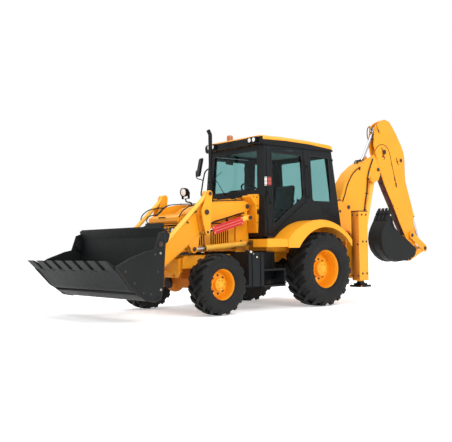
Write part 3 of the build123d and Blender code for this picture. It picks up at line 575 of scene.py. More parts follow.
def make(name, body, mat, bm, bevel=0.0, seg=2, smooth=True, slot=None, angle=30, weighted=True, replaces=(), tri=False):
    bmesh.ops.recalc_face_normals(bm, faces=bm.faces)
    me = bpy.data.meshes.new(name)
    bm.to_mesh(me)
    bm.free()
    o = bpy.data.objects.new(name, me)
    scene.collection.objects.link(o)
    me.materials.append(mat)
    for p in me.polygons:
        p.use_smooth = smooth
    if bevel:
        b = o.modifiers.new("bevel", "BEVEL")
        b.width = bevel / 1000; b.segments = seg; b.limit_method = "ANGLE"; b.angle_limit = radians(angle)
        b.harden_normals = False
    if smooth and weighted:
        w = o.modifiers.new("normals", "WEIGHTED_NORMAL")
        w.keep_sharp = True
        w.weight = 80
    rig.ride(o, body)
    if slot:
        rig.slot(o, slot)
    if replaces:
        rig.replaces(o, *replaces)
    return o


def sharp_by_angle(me, deg=35):
    "marks sharp edges so that smooth shading stays crisp"
    bm = bmesh.new(); bm.from_mesh(me)
    for e in bm.edges:
        if len(e.link_faces) == 2:
            e.smooth = e.calc_face_angle(0) < radians(deg)
    bm.to_mesh(me); bm.free()


# a dissolved face with an opening in it would be filled again
HOLED = ("cab_frame", "engine_hood", "side_shift_carriage")


def dress(node, mat, bevel=4.0, seg=2, slot=None, planar=True):
    "material, soft edges and clean shading for a CAD node"
    o = NODES[node]
    me = o.data
    me.materials.clear()
    me.materials.append(mat)
    for k in ("custom_normal",):
        if k in me.attributes:
            me.attributes.remove(me.attributes[k])
    for p in me.polygons:
        p.use_smooth = True
    w = o.modifiers.new("weld", "WELD"); w.merge_threshold = 0.00002
    if planar and node not in HOLED:
        d = o.modifiers.new("planar", "DECIMATE"); d.decimate_type = "DISSOLVE"; d.angle_limit = radians(0.6)
    if bevel:
        b = o.modifiers.new("bevel", "BEVEL"); b.width = bevel / 1000; b.segments = seg; b.limit_method = "ANGLE"; b.angle_limit = radians(28)
    n = o.modifiers.new("normals", "WEIGHTED_NORMAL"); n.weight = 80; n.keep_sharp = True
    return o


def bmn():
    return bmesh.new()


# ------------------------------------------------------------------ CAD nodes that stay
DRESS = [
    ("front_axle", orange_shade, 6), ("rear_axle", cast, 5), ("front_knuckle_left", cast, 3), ("front_knuckle_right", cast, 3),
    ("main_frame", yellow, 4), ("loader_towers", yellow, 4), ("engine_block", cast, 8), ("tanks_and_steps", charcoal, 8),
    ("rear_fenders", yellow, 7), ("cab_frame", charcoal, 7), ("cab_roof", yellow, 14), ("cab_floor", plastic, 4),
    ("dashboard_and_wheel", dash_grey, 5), ("seat_base", plastic, 6), ("hood_cowl", yellow, 5), ("engine_hood", yellow, 9),
    ("exhaust_pipe", black, 2), ("cab_door_left", charcoal, 5), ("cab_door_right", charcoal, 5),
    ("loader_arms", yellow, 4), ("lift_barrels", yellow_lite, 2), ("lift_rods", chrome, 2), ("tilt_levers", yellow, 3),
    ("tilt_links", yellow_lite, 3), ("tilt_barrels", yellow_lite, 2), ("tilt_rods", chrome, 2), ("loader_bucket", bucket_mat, 3), ("bucket_jaw", bucket_mat, 3),
    ("rear_frame", yellow, 5), ("stabiliser_leg_left", yellow, 4), ("stabiliser_leg_right", yellow, 4), ("side_shift_carriage", yellow, 4),
    ("swing_post", yellow, 4), ("boom", yellow, 5), ("boom_barrel", yellow_lite, 3), ("boom_rod", chrome, 2), ("dipper_barrel", yellow_lite, 3),
    ("dipper_rod", chrome, 2), ("dipper", yellow, 5), ("bucket_barrel", yellow_lite, 3), ("bucket_rod", chrome, 2), ("bucket_lever", yellow, 3),
    ("bucket_link", yellow, 3), ("backhoe_bucket", bucket_mat, 3), ("lamps", black, 4), ("work_lamp", black, 3), ("mirror_right", black, 4), ("beacon", amber, 5),
]
for n, m, bv in DRESS:
    dress(n, m, bv)
for n in ("cab_glass", "door_glass_left", "door_glass_right"):
    o = NODES[n]
    o.data.materials.clear(); o.data.materials.append(glass)
    for p in o.data.polygons:
        p.use_smooth = False
    if "custom_normal" in o.data.attributes:
        o.data.attributes.remove(o.data.attributes["custom_normal"])

# ------------------------------------------------------------------ tyres and rims
#            centre x, y   R    W    rim  hub  lug height, lugs per side
WHEELS = {"front": (2265, 937, 465, 350, 248, 104, 36, 17), "rear": (0, 926, 630, 480, 337, 131, 44, 19)}


def tyre_mesh(bm, c, s, R, W, rf, h, nl):
    dr = R - rf
    half = [(0.385 * W, rf - 15), (0.40 * W, rf - 2), (0.435 * W, rf + 5), (0.462 * W, rf + 0.12 * dr), (0.482 * W, rf + 0.26 * dr), (0.4935 * W, rf + 0.42 * dr),
            (0.489 * W, rf + 0.58 * dr), (0.470 * W, rf + 0.72 * dr), (0.435 * W, R - h - 9), (0.37 * W, R - h - 2), (0.22 * W, R - h), (0.0, R - h + 1)]
    # a thin rib low on the wall
    k = 3
    half[k:k + 1] = [(0.458 * W, rf + 0.10 * dr), (0.467 * W, rf + 0.115 * dr), (0.467 * W, rf + 0.14 * dr), (0.463 * W, rf + 0.155 * dr)]
    prof = half + [(-y, r) for y, r in reversed(half[:-1])]
    inner = [(-0.33 * W, rf - 15), (-0.30 * W, rf - 15), (0.30 * W, rf - 15), (0.33 * W, rf - 15)]
    lathe(bm, c, Vector((0, 1, 0)), prof + inner, 96, closed=True)
    # lugs: a bar from the middle to the shoulder, down the wall
    path = [(-0.045, 0.0), (0.10, 0.0), (0.22, 1.5), (0.33, 5.0), (0.405, 10.0), (0.450, 24.0), (0.478, 48.0), (0.4925, 0.40 * dr)]
    lead = 0.80 * (2 * pi / nl)
    for side in (1, -1):
        for i in range(nl):
            f0 = 2 * pi * (i + (0.5 if side < 0 else 0)) / nl
            rings = []
            for j, (yy, drop) in enumerate(path):
                y = yy * W
                r = R - drop
                last = j == len(path) - 1
                # lean of the bar: the middle leads
                t = min(1, max(0, yy / 0.42))
                f = f0 + lead * (1 - t ** 0.85) if yy > 0 else f0 + lead * (1 + 0.05)
                wt = (0.33 + 0.09 * t) * 2 * pi * R / nl / 2 * 1.02
                wb = wt + h * 0.22
                # direction into the casing
                ny, nr = (0, -1) if yy < 0.36 else ((-0.55, -0.83) if yy < 0.44 else (-0.93, -0.36))
                hh = h + 5 if not last else 6
                if yy >= 0.44 and not last:
                    hh = h * 0.62
                pts = []
                for k2, (wk, dk) in enumerate(((wb, hh), (wt * 1.04, h * 0.14), (wt * 0.93, 0), (-wt * 0.93, 0), (-wt * 1.04, h * 0.14), (-wb, hh))):
                    yk = (y + ny * dk) * side
                    rk = r + nr * dk
                    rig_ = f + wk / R
                    pts.append(bm.verts.new(c + Vector((rk * sin(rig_), yk, rk * cos(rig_))) / 1000))
                rings.append(pts)
            ring_join(bm, rings)


def rim_mesh(bm, c, s, R, W, rf, hub):
    rb = rf - 16
    a = 0.37 * W
    out = [(a - 3, rf - 14), (a, rf - 8), (a - 2, rf - 1.5), (a - 9, rf - 0.5), (a - 12, rf - 6), (a - 14, rb), (-a + 14, rb), (-a + 12, rf - 6), (-a + 9, rf - 0.5), (-a + 2, rf - 1.5), (-a, rf - 8), (-a + 3, rf - 14),
           (-a + 12, rb - 10), (-0.16 * W, rb - 12), (-0.05 * W, rb * 0.80), (-0.03 * W, rb * 0.62), (-0.03 * W, hub + 14), (-0.14 * W, hub + 6), (-0.14 * W, 58),
           (0.10 * W, 58), (0.16 * W, 40), (0.20 * W, 0.5), (0.265 * W, 0.5), (0.265 * W, hub * 0.30), (0.260 * W, hub * 0.42), (0.248 * W, hub * 0.47), (0.232 * W, hub * 0.52), (0.225 * W, hub * 0.80), (0.205 * W, hub * 0.93), (0.17 * W, hub * 0.97), (0.055 * W, hub), (0.05 * W, hub + 18), (0.012 * W, hub + 20),
           (0.012 * W, rb * 0.60), (0.00, rb * 0.70), (-0.035 * W, rb * 0.82), (-0.08 * W, rb - 20), (-0.02 * W, rb - 13), (0.12 * W, rb - 12), (0.20 * W, rb - 9), (a - 14, rb - 7)]
    lathe(bm, c, Vector((0, s, 0)), out, 96, closed=True)


for end, (x, yy, R, W, rf, hub, h, nl) in WHEELS.items():
    for side, s in (("left", 1), ("right", -1)):
        c = V(x, s * yy, R)
        body = f"{end}_wheel_{side}"
        bm = bmn(); tyre_mesh(bm, c, s, R, W, rf, h, nl)
        o = make(f"{end}_tyre_tread_{side}", body, tyre_mat, bm, 0, slot="tyre", weighted=False, replaces=(f"{end}_tyre_{side}",))
        sharp_by_angle(o.data, 38)
        bm = bmn(); rim_mesh(bm, c, s, R, W, rf, hub)
        o = make(f"{end}_rim_disc_{side}", body, yellow, bm, 0, slot="yellow_paint", weighted=False, replaces=(f"{end}_rim_{side}",))
        sharp_by_angle(o.data, 50)
        nb = 8 if end == "front" else 10
        bm = bmn()
        for i in range(nb):
            an = 2 * pi * i / nb
            p = c + Vector(((hub + 34) * sin(an), s * 0.008 * W, (hub + 34) * cos(an))) / 1000
            bolt(bm, p, Vector((0, s, 0)), 13, 16)
        for i in range(6):
            an = 2 * pi * (i + 0.5) / 6
            p = c + Vector((hub * 0.66 * sin(an), s * 0.222 * W, hub * 0.66 * cos(an))) / 1000
            bolt(bm, p, Vector((0, s, 0)), 7, 6, False)
        make(f"{end}_wheel_nuts_{side}", body, pin_steel, bm, 0.6, 1, slot="yellow_paint")

# ------------------------------------------------------------------ added detail
def ys(z):
    return 800 - 0.05714 * (z - 1190)


def xf(z):
    return 1130 - 0.0617 * (z - 1190)


def xr(z):
    return -800 + 0.1039 * (z - 1190)


DOOR = [(1060, 1228), (955, 1228), (606, 1474), (150, 1765), (98, 1800), (98, 2650), (985, 2650)]
DOOR_WIN = [(930, 1350), (640, 1560), (190, 1840), (156, 1880), (156, 2600), (880, 2600)]
REAR_WIN = [(-60, 1800), (-560, 1800), (-545, 2600), (-60, 2600)]
WIND = [(-600, 1960), (600, 1960), (560, 2640), (-560, 2640)]
BACK = [(-620, 1760), (620, 1760), (575, 2620), (-575, 2620)]


def side_at(s, d):
    return lambda x, z: V(x, s * (ys(z) + d), z)


def front_at(d):
    return lambda y, z: V(xf(z) + d, y, z)


def rear_at(d):
    return lambda y, z: V(xr(z) - d, y, z)


def frame_band(bm, poly, out, inn, ro, ri, f0, f1):
    band(bm, rounded(offset(poly, out), ro), rounded(offset(poly, -inn), ri), f0, f1)


# rubber seals round every pane, and the raised edge of each door
bm = bmn()
for s in (1, -1):
    frame_band(bm, REAR_WIN, 13, 12, 24, 46, side_at(s, -14), side_at(s, 4.5))
frame_band(bm, WIND, 13, 12, 24, 46, front_at(-14), front_at(4.5))
frame_band(bm, BACK, 13, 12, 24, 46, rear_at(-14), rear_at(4.5))
make("pane_seals", "chassis", rubber, bm, 1.6, 2, slot="plastic")
for side, s in (("left", 1), ("right", -1)):
    bm = bmn()
    frame_band(bm, DOOR_WIN, 12, 11, 22, 44, side_at(s, -14), side_at(s, 4.5))
    make(f"door_seal_{side}", f"cab_door_{side}", rubber, bm, 1.6, 2, slot="plastic")
    bm = bmn()
    frame_band(bm, DOOR, -3, 26, 14, 14, side_at(s, -3), side_at(s, 5))
    make(f"door_edge_{side}", f"cab_door_{side}", charcoal, bm, 2.0, 2, slot="charcoal_paint")
    # handle, lock, hinges
    bm = bmn()
    tube(bm, [V(1030, s * (ys(1925) + 4), 1925), V(1026, s * (ys(1915) + 34), 1915), V(985, s * (ys(1780) + 36), 1780), V(972, s * (ys(1750) + 34), 1752), V(968, s * (ys(1745) + 3), 1745)], 10, 12)
    lathe(bm, V(1000, s * ys(1690), 1690), Vector((0, s, 0)), [(0, 26), (9, 25), (11, 20), (11, 7), (9, 6), (9, 0)], 24)
    box(bm, 955, 1030, s * (ys(1600) + 1), s * (ys(1600) + 8), 1560, 1650)
    make(f"door_handle_{side}", f"cab_door_{side}", black, bm, 1.5, 2, slot="black_paint")
    bm = bmn()
    for z in (1960, 2480):
        cyl(bm, V(92, s * (ys(z) + 14), z - 52), V(92, s * (ys(z + 52) + 14), z + 52), 12, 18, 2)
        box(bm, 100, 172, s * (ys(z) + 2), s * (ys(z) + 11), z - 38, z + 38)
        for dx in (122, 152):
            for dz in (-22, 22):
                bolt(bm, V(dx, s * (ys(z + dz) + 11), z + dz), Vector((0, s, 0)), 7, 5, False)
    make(f"door_hinges_{side}", f"cab_door_{side}", black, bm, 1.2, 2, slot="black_paint")

# roof: black header over the windscreen, rain gutters, ribs, head lining
bm = bmn()
plate(bm, [(1078, 2727), (1108, 2731), (1116, 2800), (1104, 2850), (1078, 2856)], lambda x, z: V(x, -737, z), lambda x, z: V(x, 737, z))
for s in (1, -1):
    box(bm, -648, 1084, s * 699, s * 741, 2716, 2745)
box(bm, -668, -640, -730, 730, 2716, 2748)
make("roof_header", "chassis", black, bm, 4, 3, slot="black_paint")
bm = bmn()
for y in (-480, -160, 160, 480):
    prism(bm, [(-540, 2830), (-540, 2842), (-30, 2884), (560, 2900), (980, 2893), (980, 2882)], y - 34, y + 34)
make("roof_ribs", "chassis", yellow, bm, 5, 3, slot="yellow_paint")
bm = bmn()
for s in (1, -1):
    prism(bm, [(1084, 2740), (1084, 2800), (540, 2812), (-40, 2800), (-600, 2757), (-640, 2740)], min(s * 735, s * 742), max(s * 735, s * 742))
make("roof_side_band", "chassis", black, bm, 3, 2, slot="black_paint")
bm = bmn()
box(bm, -610, 1005, -660, 660, 2700, 2716)
box(bm, 120, 520, -220, 220, 2690, 2702)
make("head_lining", "chassis", liner, bm, 5, 3, slot="black_paint")
# beacon
bm = bmn()
lathe(bm, V(810, -400, 2886), Vector((0, 0, 1)), [(0, 70), (10, 70), (24, 64), (34, 60), (38, 56)], 40)
make("beacon_base", "chassis", black, bm, 1.5, 2, slot="black_paint")
bm = bmn()
lathe(bm, V(810, -400, 2923), Vector((0, 0, 1)), [(0, 57), (8, 59)] + [(14 + 8 * k, 57 - (1.2 if k % 2 else 0)) for k in range(9)] + [(88, 53), (98, 45), (104, 32), (107, 14), (107.5, 0)], 40)
make("beacon_dome", "chassis", amber, bm, 0, 1, slot="amber", weighted=False, replaces=("beacon",))
# roof lamp lenses
bm = bmn(); bl = bmn()
for y in (-587, -483, 483, 587):
    c = V(1150, y, 2801)
    lathe(bm, c, Vector((1, 0, 0)), [(-2, 46), (7, 46), (7, 40), (2, 38)], 32)
    lathe(bl, c, Vector((1, 0, 0)), [(0, 38), (3, 38), (6, 30), (8, 16), (8.5, 0)], 32)
for y in (-490, -410, 410, 490):
    c = V(-705, y, 2783)
    lathe(bm, c, Vector((-1, 0, 0)), [(-2, 36), (6, 36), (6, 31), (2, 30)], 28)
    lathe(bl, c, Vector((-1, 0, 0)), [(0, 30), (3, 30), (5, 22), (6.5, 0)], 28)
make("roof_lamp_rims", "chassis", black, bm, 0.8, 1, slot="black_paint")
make("roof_lamp_lenses", "chassis", white_lens, bl, 0, 1, slot="glass", weighted=False)
# side marker lamp: clear in front, red at the side
bm = bmn(); box(bm, 1130, 1138, 818, 874, 2018, 2162); make("marker_front", "chassis", white_lens, bm, 3, 3, slot="glass")
bm = bmn(); box(bm, 1046, 1122, 880, 887, 2022, 2158); make("marker_side", "chassis", red_lens, bm, 3, 3, slot="glass")
bm = bmn()
for z in (2034, 2090, 2146):
    box(bm, 1128, 1139.5, 816, 876, z - 3, z + 3)
    box(bm, 1044, 1124, 878, 888.5, z - 3, z + 3)
make("marker_bars", "chassis", black, bm, 1, 1, slot="black_paint")

# windscreen wiper and inside mirror
bm = bmn()
f = front_at(14)
tube(bm, [f(-249, 1964), f(-330, 2050), f(-430, 2158), f(-526, 2259)], 6, 8, 1)
lathe(bm, front_at(-6)(-249, 1950), Vector((1, 0, 0)), [(0, 20), (22, 20), (28, 14), (28, 0)], 20)
g = front_at(9)
tube(bm, [g(-330, 2350), g(-526, 2259), g(-590, 2060)], 5, 8, 1, smooth=False)
make("wiper", "chassis", black, bm, 0.5, 1, slot="black_paint")
bm = bmn()
obox(bm, V(1010, -190, 2500), Vector((1, 0, 0)), Vector((0, 0.98, -0.2)).normalized(), Vector((0, 0.2, 0.98)).normalized(), 18, 190, 70)
cyl(bm, V(1015, -190, 2530), V(1020, -190, 2640), 6, 12)
make("inside_mirror", "chassis", black, bm, 5, 3, slot="black_paint")

# outside mirror on its bent arm
bm = bmn()
Y = -905
box(bm, 1058, 1104, -800, -761, 1900, 1960)
tube(bm, [V(1086, -790, 1930), V(1090, -850, 1936), V(1086, Y, 1985), V(1068, Y, 2080), V(1046, Y, 2190), V(1020, Y, 2294), V(985, Y, 2400), V(930, -890, 2455), V(900, -830, 2462), V(1000, -728, 2462)], 13, 12)
tube(bm, [V(1034, Y, 2240), V(1090, Y, 2262), V(1168, Y, 2275), V(1196, Y, 2330), V(1190, Y, 2420)], 9, 10)
c = V(1112, Y, 2480)
ax = Matrix.Rotation(radians(-13), 4, "Y") @ Matrix.Rotation(radians(-10), 4, "Z")
a, b_, d_ = (ax @ Vector(k) for k in ((1, 0, 0), (0, 1, 0), (0, 0, 1)))
pts = rounded([(-66, -172), (66, -172), (66, 172), (-66, 172)], 26, 5)
plate(bm, pts, lambda u, v: c + (a * -17 + b_ * u + d_ * v) / 1000, lambda u, v: c + (a * 8 + b_ * u + d_ * v) / 1000)
plate(bm, [(u * 0.82, v * 0.9) for u, v in pts], lambda u, v: c + (a * 7 + b_ * u + d_ * v) / 1000, lambda u, v: c + (a * 17 + b_ * u + d_ * v) / 1000)
make("mirror_body", "chassis", black, bm, 2.5, 2, slot="black_paint", replaces=("mirror_right",))
bm = bmn()
plate(bm, [(u * 0.93, v * 0.965) for u, v in pts], lambda u, v: c + (a * -17.4 + b_ * u + d_ * v) / 1000, lambda u, v: c + (a * -19 + b_ * u + d_ * v) / 1000)
make("mirror_face", "chassis", mirror_mat, bm, 0, 1, smooth=False, slot="glass", weighted=False)

# work lamp on its bracket
bm = bmn()
c = V(1912, -300, 1955); n = Vector((1, 0.10, -0.08)).normalized()
lathe(bm, c - n * 0.062, n, [(0, 26), (0, 30), (14, 52), (30, 66), (52, 73), (96, 76), (112, 76), (112, 68), (100, 66)], 40)
box(bm, 1744, 1816, -341, -259, 1726, 1742)
tube(bm, [V(1780, -300, 1738), V(1782, -300, 1772), V(1810, -300, 1786), V(1862, -300, 1792), V(1896, -300, 1806), V(1900, -300, 1850)], 12, 12)
plate(bm, rounded([(1880, 1842), (1922, 1842), (1926, 1962), (1876, 1962)], 8), lambda x, z: V(x, -380, z), lambda x, z: V(x, -386, z))
plate(bm, rounded([(1880, 1842), (1922, 1842), (1926, 1962), (1876, 1962)], 8), lambda x, z: V(x, -220, z), lambda x, z: V(x, -214, z))
box(bm, 1880, 1922, -386, -214, 1842, 1850)
for y, k in ((-386, -1), (-214, 1)):
    bolt(bm, V(1901, y, 1945), Vector((0, k, 0)), 11, 8)
for x in (1760, 1800):
    bolt(bm, V(x, -325, 1742), Vector((0, 0, 1)), 8, 6)
make("work_lamp_body", NODE_BODY("work_lamp"), black, bm, 1.2, 2, slot="black_paint", replaces=("work_lamp",))
bm = bmn(); lathe(bm, c + n * 0.036, n, [(0, 66), (6, 66), (12, 52), (16, 28), (17, 0)], 40)
make("work_lamp_lens", NODE_BODY("work_lamp"), white_lens, bm, 0, 1, slot="glass", weighted=False)

# ------------------------------------------------------------------ inside the cab
def cushion_mesh(name, c, ax, ay, az, sx, sy, sz, body, fill, channels=2, crown=0.22):
    "crowned pad: sides pull in between the corners, sewn channels across, a piped seam"
    bm = bmn()
    nu, nv = 26, 26
    top, bot = [], []
    for i in range(nu + 1):
        rt, rb = [], []
        for j in range(nv + 1):
            u, v = -1 + 2 * i / nu, -1 + 2 * j / nv
            # rounded-square outline, pulled in along each side
            k = 0.055
            x = u * (1 - k * (1 - v * v)) * (1 - 0.06 * v ** 6)
            y = v * (1 - k * (1 - u * u)) * (1 - 0.06 * u ** 6)
            h = (1 - abs(u) ** 3.2) ** 0.5 * (1 - abs(v) ** 3.2) ** 0.5
            z = 0.10 + 0.40 * h + crown * 0.5 * (1 - u * u) * (1 - v * v)
            for q in range(channels):
                uq = -0.46 + 0.92 * q / max(1, channels - 1) if channels > 1 else 0
                z -= 0.13 * math.exp(-((u - uq) / 0.045) ** 2) * h
            for vv in (-0.62, 0.62):
                z -= 0.10 * math.exp(-((v - vv) / 0.045) ** 2) * h
            z += 0.02 * sin(7 * u + 3 * v) * h
            p = c + (ax * (x * sx / 2) + ay * (y * sy / 2)) / 1000
            rt.append(bm.verts.new(p + az * (z * sz / 1000)))
            rim_ = i in (0, nu) or j in (0, nv)
            zb = 0.02 if rim_ else -0.34 * min(1.0, 5 * (1 - max(abs(u), abs(v))))
            rb.append(rt[-1] if rim_ and False else bm.verts.new(p + az * (zb * sz / 1000)))
        top.append(rt); bot.append(rb)
    for i in range(nu):
        for j in range(nv):
            bm.faces.new((top[i][j], top[i + 1][j], top[i + 1][j + 1], top[i][j + 1]))
            bm.faces.new((bot[i][j], bot[i][j + 1], bot[i + 1][j + 1], bot[i + 1][j]))
    loop = [(i, 0) for i in range(nu)] + [(nu, j) for j in range(nv)] + [(i, nv) for i in range(nu, 0, -1)] + [(0, j) for j in range(nv, 0, -1)]
    for a_, b2 in zip(loop, loop[1:] + loop[:1]):
        bm.faces.new((top[a_[0]][a_[1]], top[b2[0]][b2[1]], bot[b2[0]][b2[1]], bot[a_[0]][a_[1]]))
    o = make(name, body, fabric, bm, 0, 1, slot="fabric", weighted=False, replaces=("seat_cushion",))
    m = o.modifiers.new("sub", "SUBSURF"); m.levels = 1; m.render_levels = 1
    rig.padded(o, fill=fill)
    # piping
    bp = bmn()
    path = []
    for a_ in loop[::3]:
        u, v = -1 + 2 * a_[0] / nu, -1 + 2 * a_[1] / nv
        k = 0.055
        x = u * (1 - k * (1 - v * v)) * (1 - 0.06 * v ** 6); y = v * (1 - k * (1 - u * u)) * (1 - 0.06 * u ** 6)
        path.append(c + (ax * (x * sx / 2) + ay * (y * sy / 2)) / 1000 + az * (0.07 * sz / 1000))
    path.append(path[0])
    tube(bp, path, 4.5, 6, 2)
    make(name + "_piping", body, rubber, bp, 0, 1, slot="fabric", weighted=False)
    return o


X1, Y1, Z1 = Vector((1, 0, 0)), Vector((0, 1, 0)), Vector((0, 0, 1))
SEAT = NODE_BODY("seat_cushion")
cushion_mesh("seat_pad", V(205, 0, 1466), X1, Y1, Z1, 470, 470, 100, SEAT, 0.8)
tb = Vector((-0.18, 0, 1)).normalized(); nb = Vector((1, 0, 0.18)).normalized()
cushion_mesh("seat_back", V(-116, 0, 1830), tb, Y1 * -1, nb, 620, 450, 95, SEAT, 0.8, 2)
bm = bmn()
plate(bm, rounded([(-215, -315), (215, -315), (200, 315), (-200, 315)], 60, 6), lambda u, v: V(-116, 0, 1830) + (Y1 * u + tb * v - nb * 34) / 1000, lambda u, v: V(-116, 0, 1830) + (Y1 * u + tb * v - nb * 58) / 1000)
box(bm, -30, 400, -215, 215, 1422, 1436)
for s in (1, -1):
    tube(bm, [V(-130, s * 250, 1640), V(-60, s * 262, 1668), V(120, s * 262, 1672), V(210, s * 262, 1668)], 24, 14)
    cyl(bm, V(-110, s * 250, 1520), V(-120, s * 252, 1650), 14, 14)
make("seat_shell", SEAT, plastic, bm, 6, 3, slot="black_paint")
bm = bmn()
# side consoles, levers, pedals, column shroud, fascia
for s in (1, -1):
    prism(bm, rounded([(-540, 1402), (-120, 1402), (-120, 1560), (-200, 1690), (-540, 1710)], 30), s * 420, s * 600)
box(bm, 900, 1046, 240, 560, 1190, 1560)
box(bm, 940, 1046, -560, -240, 1190, 1500)
prism(bm, rounded([(850, 1846), (1040, 1905), (1046, 1990), (980, 2010), (862, 1905)], 14), -190, 190)
tube(bm, [V(900, 0, 1720), V(820, 0, 1820), V(745, 0, 1930)], 44, 16)
for y in (-150, -60, 130):
    obox(bm, V(760, y, 1270), Vector((0.8, 0, 0.6)), Y1, Vector((-0.6, 0, 0.8)), 16, 80, 120)
    cyl(bm, V(770, y, 1240), V(880, y, 1330), 9, 10)
for x, y in ((-300, 150), (-300, -150), (-270, 60), (-270, -60), (320, -330), (380, -330)):
    cyl(bm, V(x, y, 1402 if x < 0 else 1190), V(x - (40 if x < 0 else -30), y, 1830 if x < 0 else 1700), 9, 12)
    lathe(bm, V(x - (40 if x < 0 else -30), y, 1822 if x < 0 else 1692), Z1, [(0, 14), (14, 24), (44, 27), (62, 18), (68, 0)], 20)
    lathe(bm, V(x, y, 1403 if x < 0 else 1190), Z1, [(0, 46), (16, 40), (30, 30), (44, 34), (58, 22), (72, 14)], 20)
make("cab_controls", "chassis", dash_grey, bm, 4, 2, slot="black_paint")

# ------------------------------------------------------------------ chassis detail
# louvres and fasteners on the hood sides, grille in the nose
bm = bmn()
for s in (1, -1):
    for k in range(9):
        x = 1560 + k * 44
        prism(bm, [(x, 1060), (x + 20, 1060), (x + 20, 1300), (x, 1300)], s * 379, s * 385)
    for k in range(7):
        x = 2060 + k * 44
        prism(bm, [(x, 1060), (x + 20, 1060), (x + 20, 1240), (x, 1240)], s * 379, s * 385)
for k in range(10):
    z = 1010 + k * 34
    box(bm, 2560, 2584, -330, 330, z, z + 12)
for k in range(9):
    y = -320 + k * 80
    box(bm, 2566, 2578, y - 5, y + 5, 1000, 1352)
make("hood_louvres", "chassis", black, bm, 1.5, 2, slot="black_paint")
bm = bmn(); bl = bmn()
for y in (-250, 250):
    lathe(bm, V(2572, y, 1290), X1, [(0, 62), (26, 62), (26, 54), (10, 50)], 36)
    lathe(bl, V(2572, y, 1290), X1, [(8, 52), (14, 50), (20, 34), (23, 0)], 36)
make("head_lamp_rims", "chassis", black, bm, 1, 1, slot="black_paint")
make("head_lamp_lenses", "chassis", white_lens, bl, 0, 1, slot="glass", weighted=False)
bm = bmn()
for s in (1, -1):
    for x, z in ((1470, 1350), (1950, 1350), (2440, 1350), (1470, 1000), (1950, 1000), (2440, 1000)):
        bolt(bm, V(x, s * 380, z), Vector((0, s, 0)), 8, 6)
    for x, z in ((1175, 1280), (1175, 1560), (1175, 1780), (1390, 1280), (1390, 1700)):
        bolt(bm, V(x, s * 380, z), Vector((0, s, 0)), 8, 6)
make("hood_side_bolts", "chassis", pin_steel, bm, 0.5, 1, slot="black_paint")

# lid of the hood: pressed ribs, seam, catch, handle
HB = NODE_BODY("engine_hood")
lid_top = [(2540, 1535), (2300, 1560), (2060, 1612), (1965, 1680), (1836, 1716), (1428, 1800)]


def lid_z(x):
    for (x0, z0), (x1, z1) in zip(lid_top, lid_top[1:]):
        if x1 <= x <= x0:
            return z0 + (z1 - z0) * (x - x0) / (x1 - x0)
    return lid_top[-1][1] if x < 1428 else lid_top[0][1]


bm = bmn()
for y in (-250, 0, 250):
    for x0, x1 in ((1460, 1820), (2090, 2480)):
        pts = [(x0, lid_z(x0) - 2), (x0 + 26, lid_z(x0 + 26) + 9), (x1 - 26, lid_z(x1 - 26) + 9), (x1, lid_z(x1) - 2)]
        if y == -250 and x0 == 1460:
            continue
        prism(bm, pts, y - 30, y + 30)
make("lid_ribs", HB, yellow, bm, 5, 3, slot="yellow_paint")
bm = bmn()
for s in (1, -1):
    tube(bm, [V(2560, s * 383, 1412), V(1440, s * 383, 1412)], 4, 8, 1, smooth=False)
    tube(bm, [V(x, s * 381, lid_z(x) - 5) for x in (2530, 2300, 2060, 1965, 1836, 1432)], 3.5, 8, 1, smooth=False)
    for x in (1560, 2380):
        box(bm, x, x + 46, s * 380, s * 390, 1420, 1478)
        lathe(bm, V(x + 23, s * 389, 1450), Vector((0, s, 0)), [(0, 13), (5, 12), (6, 4), (6, 0)], 18)
tube(bm, [V(2588, -70, 1500), V(2622, -66, 1506), V(2622, 66, 1506), V(2588, 70, 1500)], 9, 10, 2)
make("lid_seams", HB, black, bm, 1, 2, slot="black_paint")

# exhaust: clamp, cap ring, base flange
bm = bmn()
lathe(bm, V(1330, -325, 1806), Z1, [(0, 58), (8, 58), (12, 46), (46, 44)], 32)
for z in (1900, 2140):
    lathe(bm, V(1330, -325, z), Z1, [(0, 40), (0, 41.5), (24, 41.5), (24, 40)], 32)
    box(bm, 1366, 1392, -334, -316, z + 2, z + 22)
lathe(bm, V(1330, -325, 1960), Z1, [(0, 36), (10, 50), (150, 50), (160, 36)], 36)
make("exhaust_trim", "chassis", black, bm, 1.2, 2, slot="black_paint")

# hood cowl: corner bead, dark joint line under the windscreen, filler caps
bm = bmn()
tube(bm, [V(1142, -386, 1861), V(1142, 386, 1861)], 7, 8, 1, smooth=False)
for s in (1, -1):
    tube(bm, [V(1140, s * 383, 1250), V(1142, s * 384, 1856), V(1420, s * 384, 1804)], 5, 8, 1, smooth=False)
lathe(bm, V(1260, 180, 1834), Vector((0.17, 0, 1)), [(0, 42), (20, 42), (24, 36), (26, 0)], 28)
make("cowl_seams", "chassis", black, bm, 1, 1, slot="black_paint")

# yellow corner panel between the cab and the hood, both sides
bm = bmn()
for s in (1, -1):
    prism(bm, rounded([(1128, 1250), (1160, 1250), (1168, 1700), (1290, 1846), (1270, 1872), (1110, 1880), (1088, 1860)], 14), s * 430, s * 640)
    tube(bm, [V(1100, s * 640, 1884), V(1180, s * 600, 1884), V(1278, s * 560, 1878)], 8, 8)
make("corner_panels", "chassis", yellow, bm, 8, 3, slot="yellow_paint")
bm = bmn()
for s in (1, -1):
    for x, z in ((1150, 1840), (1225, 1852), (1140, 1700), (1145, 1420)):
        bolt(bm, V(x, s * 640, z), Vector((0, s, 0)), 8, 6)
    box(bm, 1118, 1150, s * 636, s * 652, 1560, 1640)
make("corner_bolts", "chassis", pin_steel, bm, 0.6, 1, slot="black_paint")

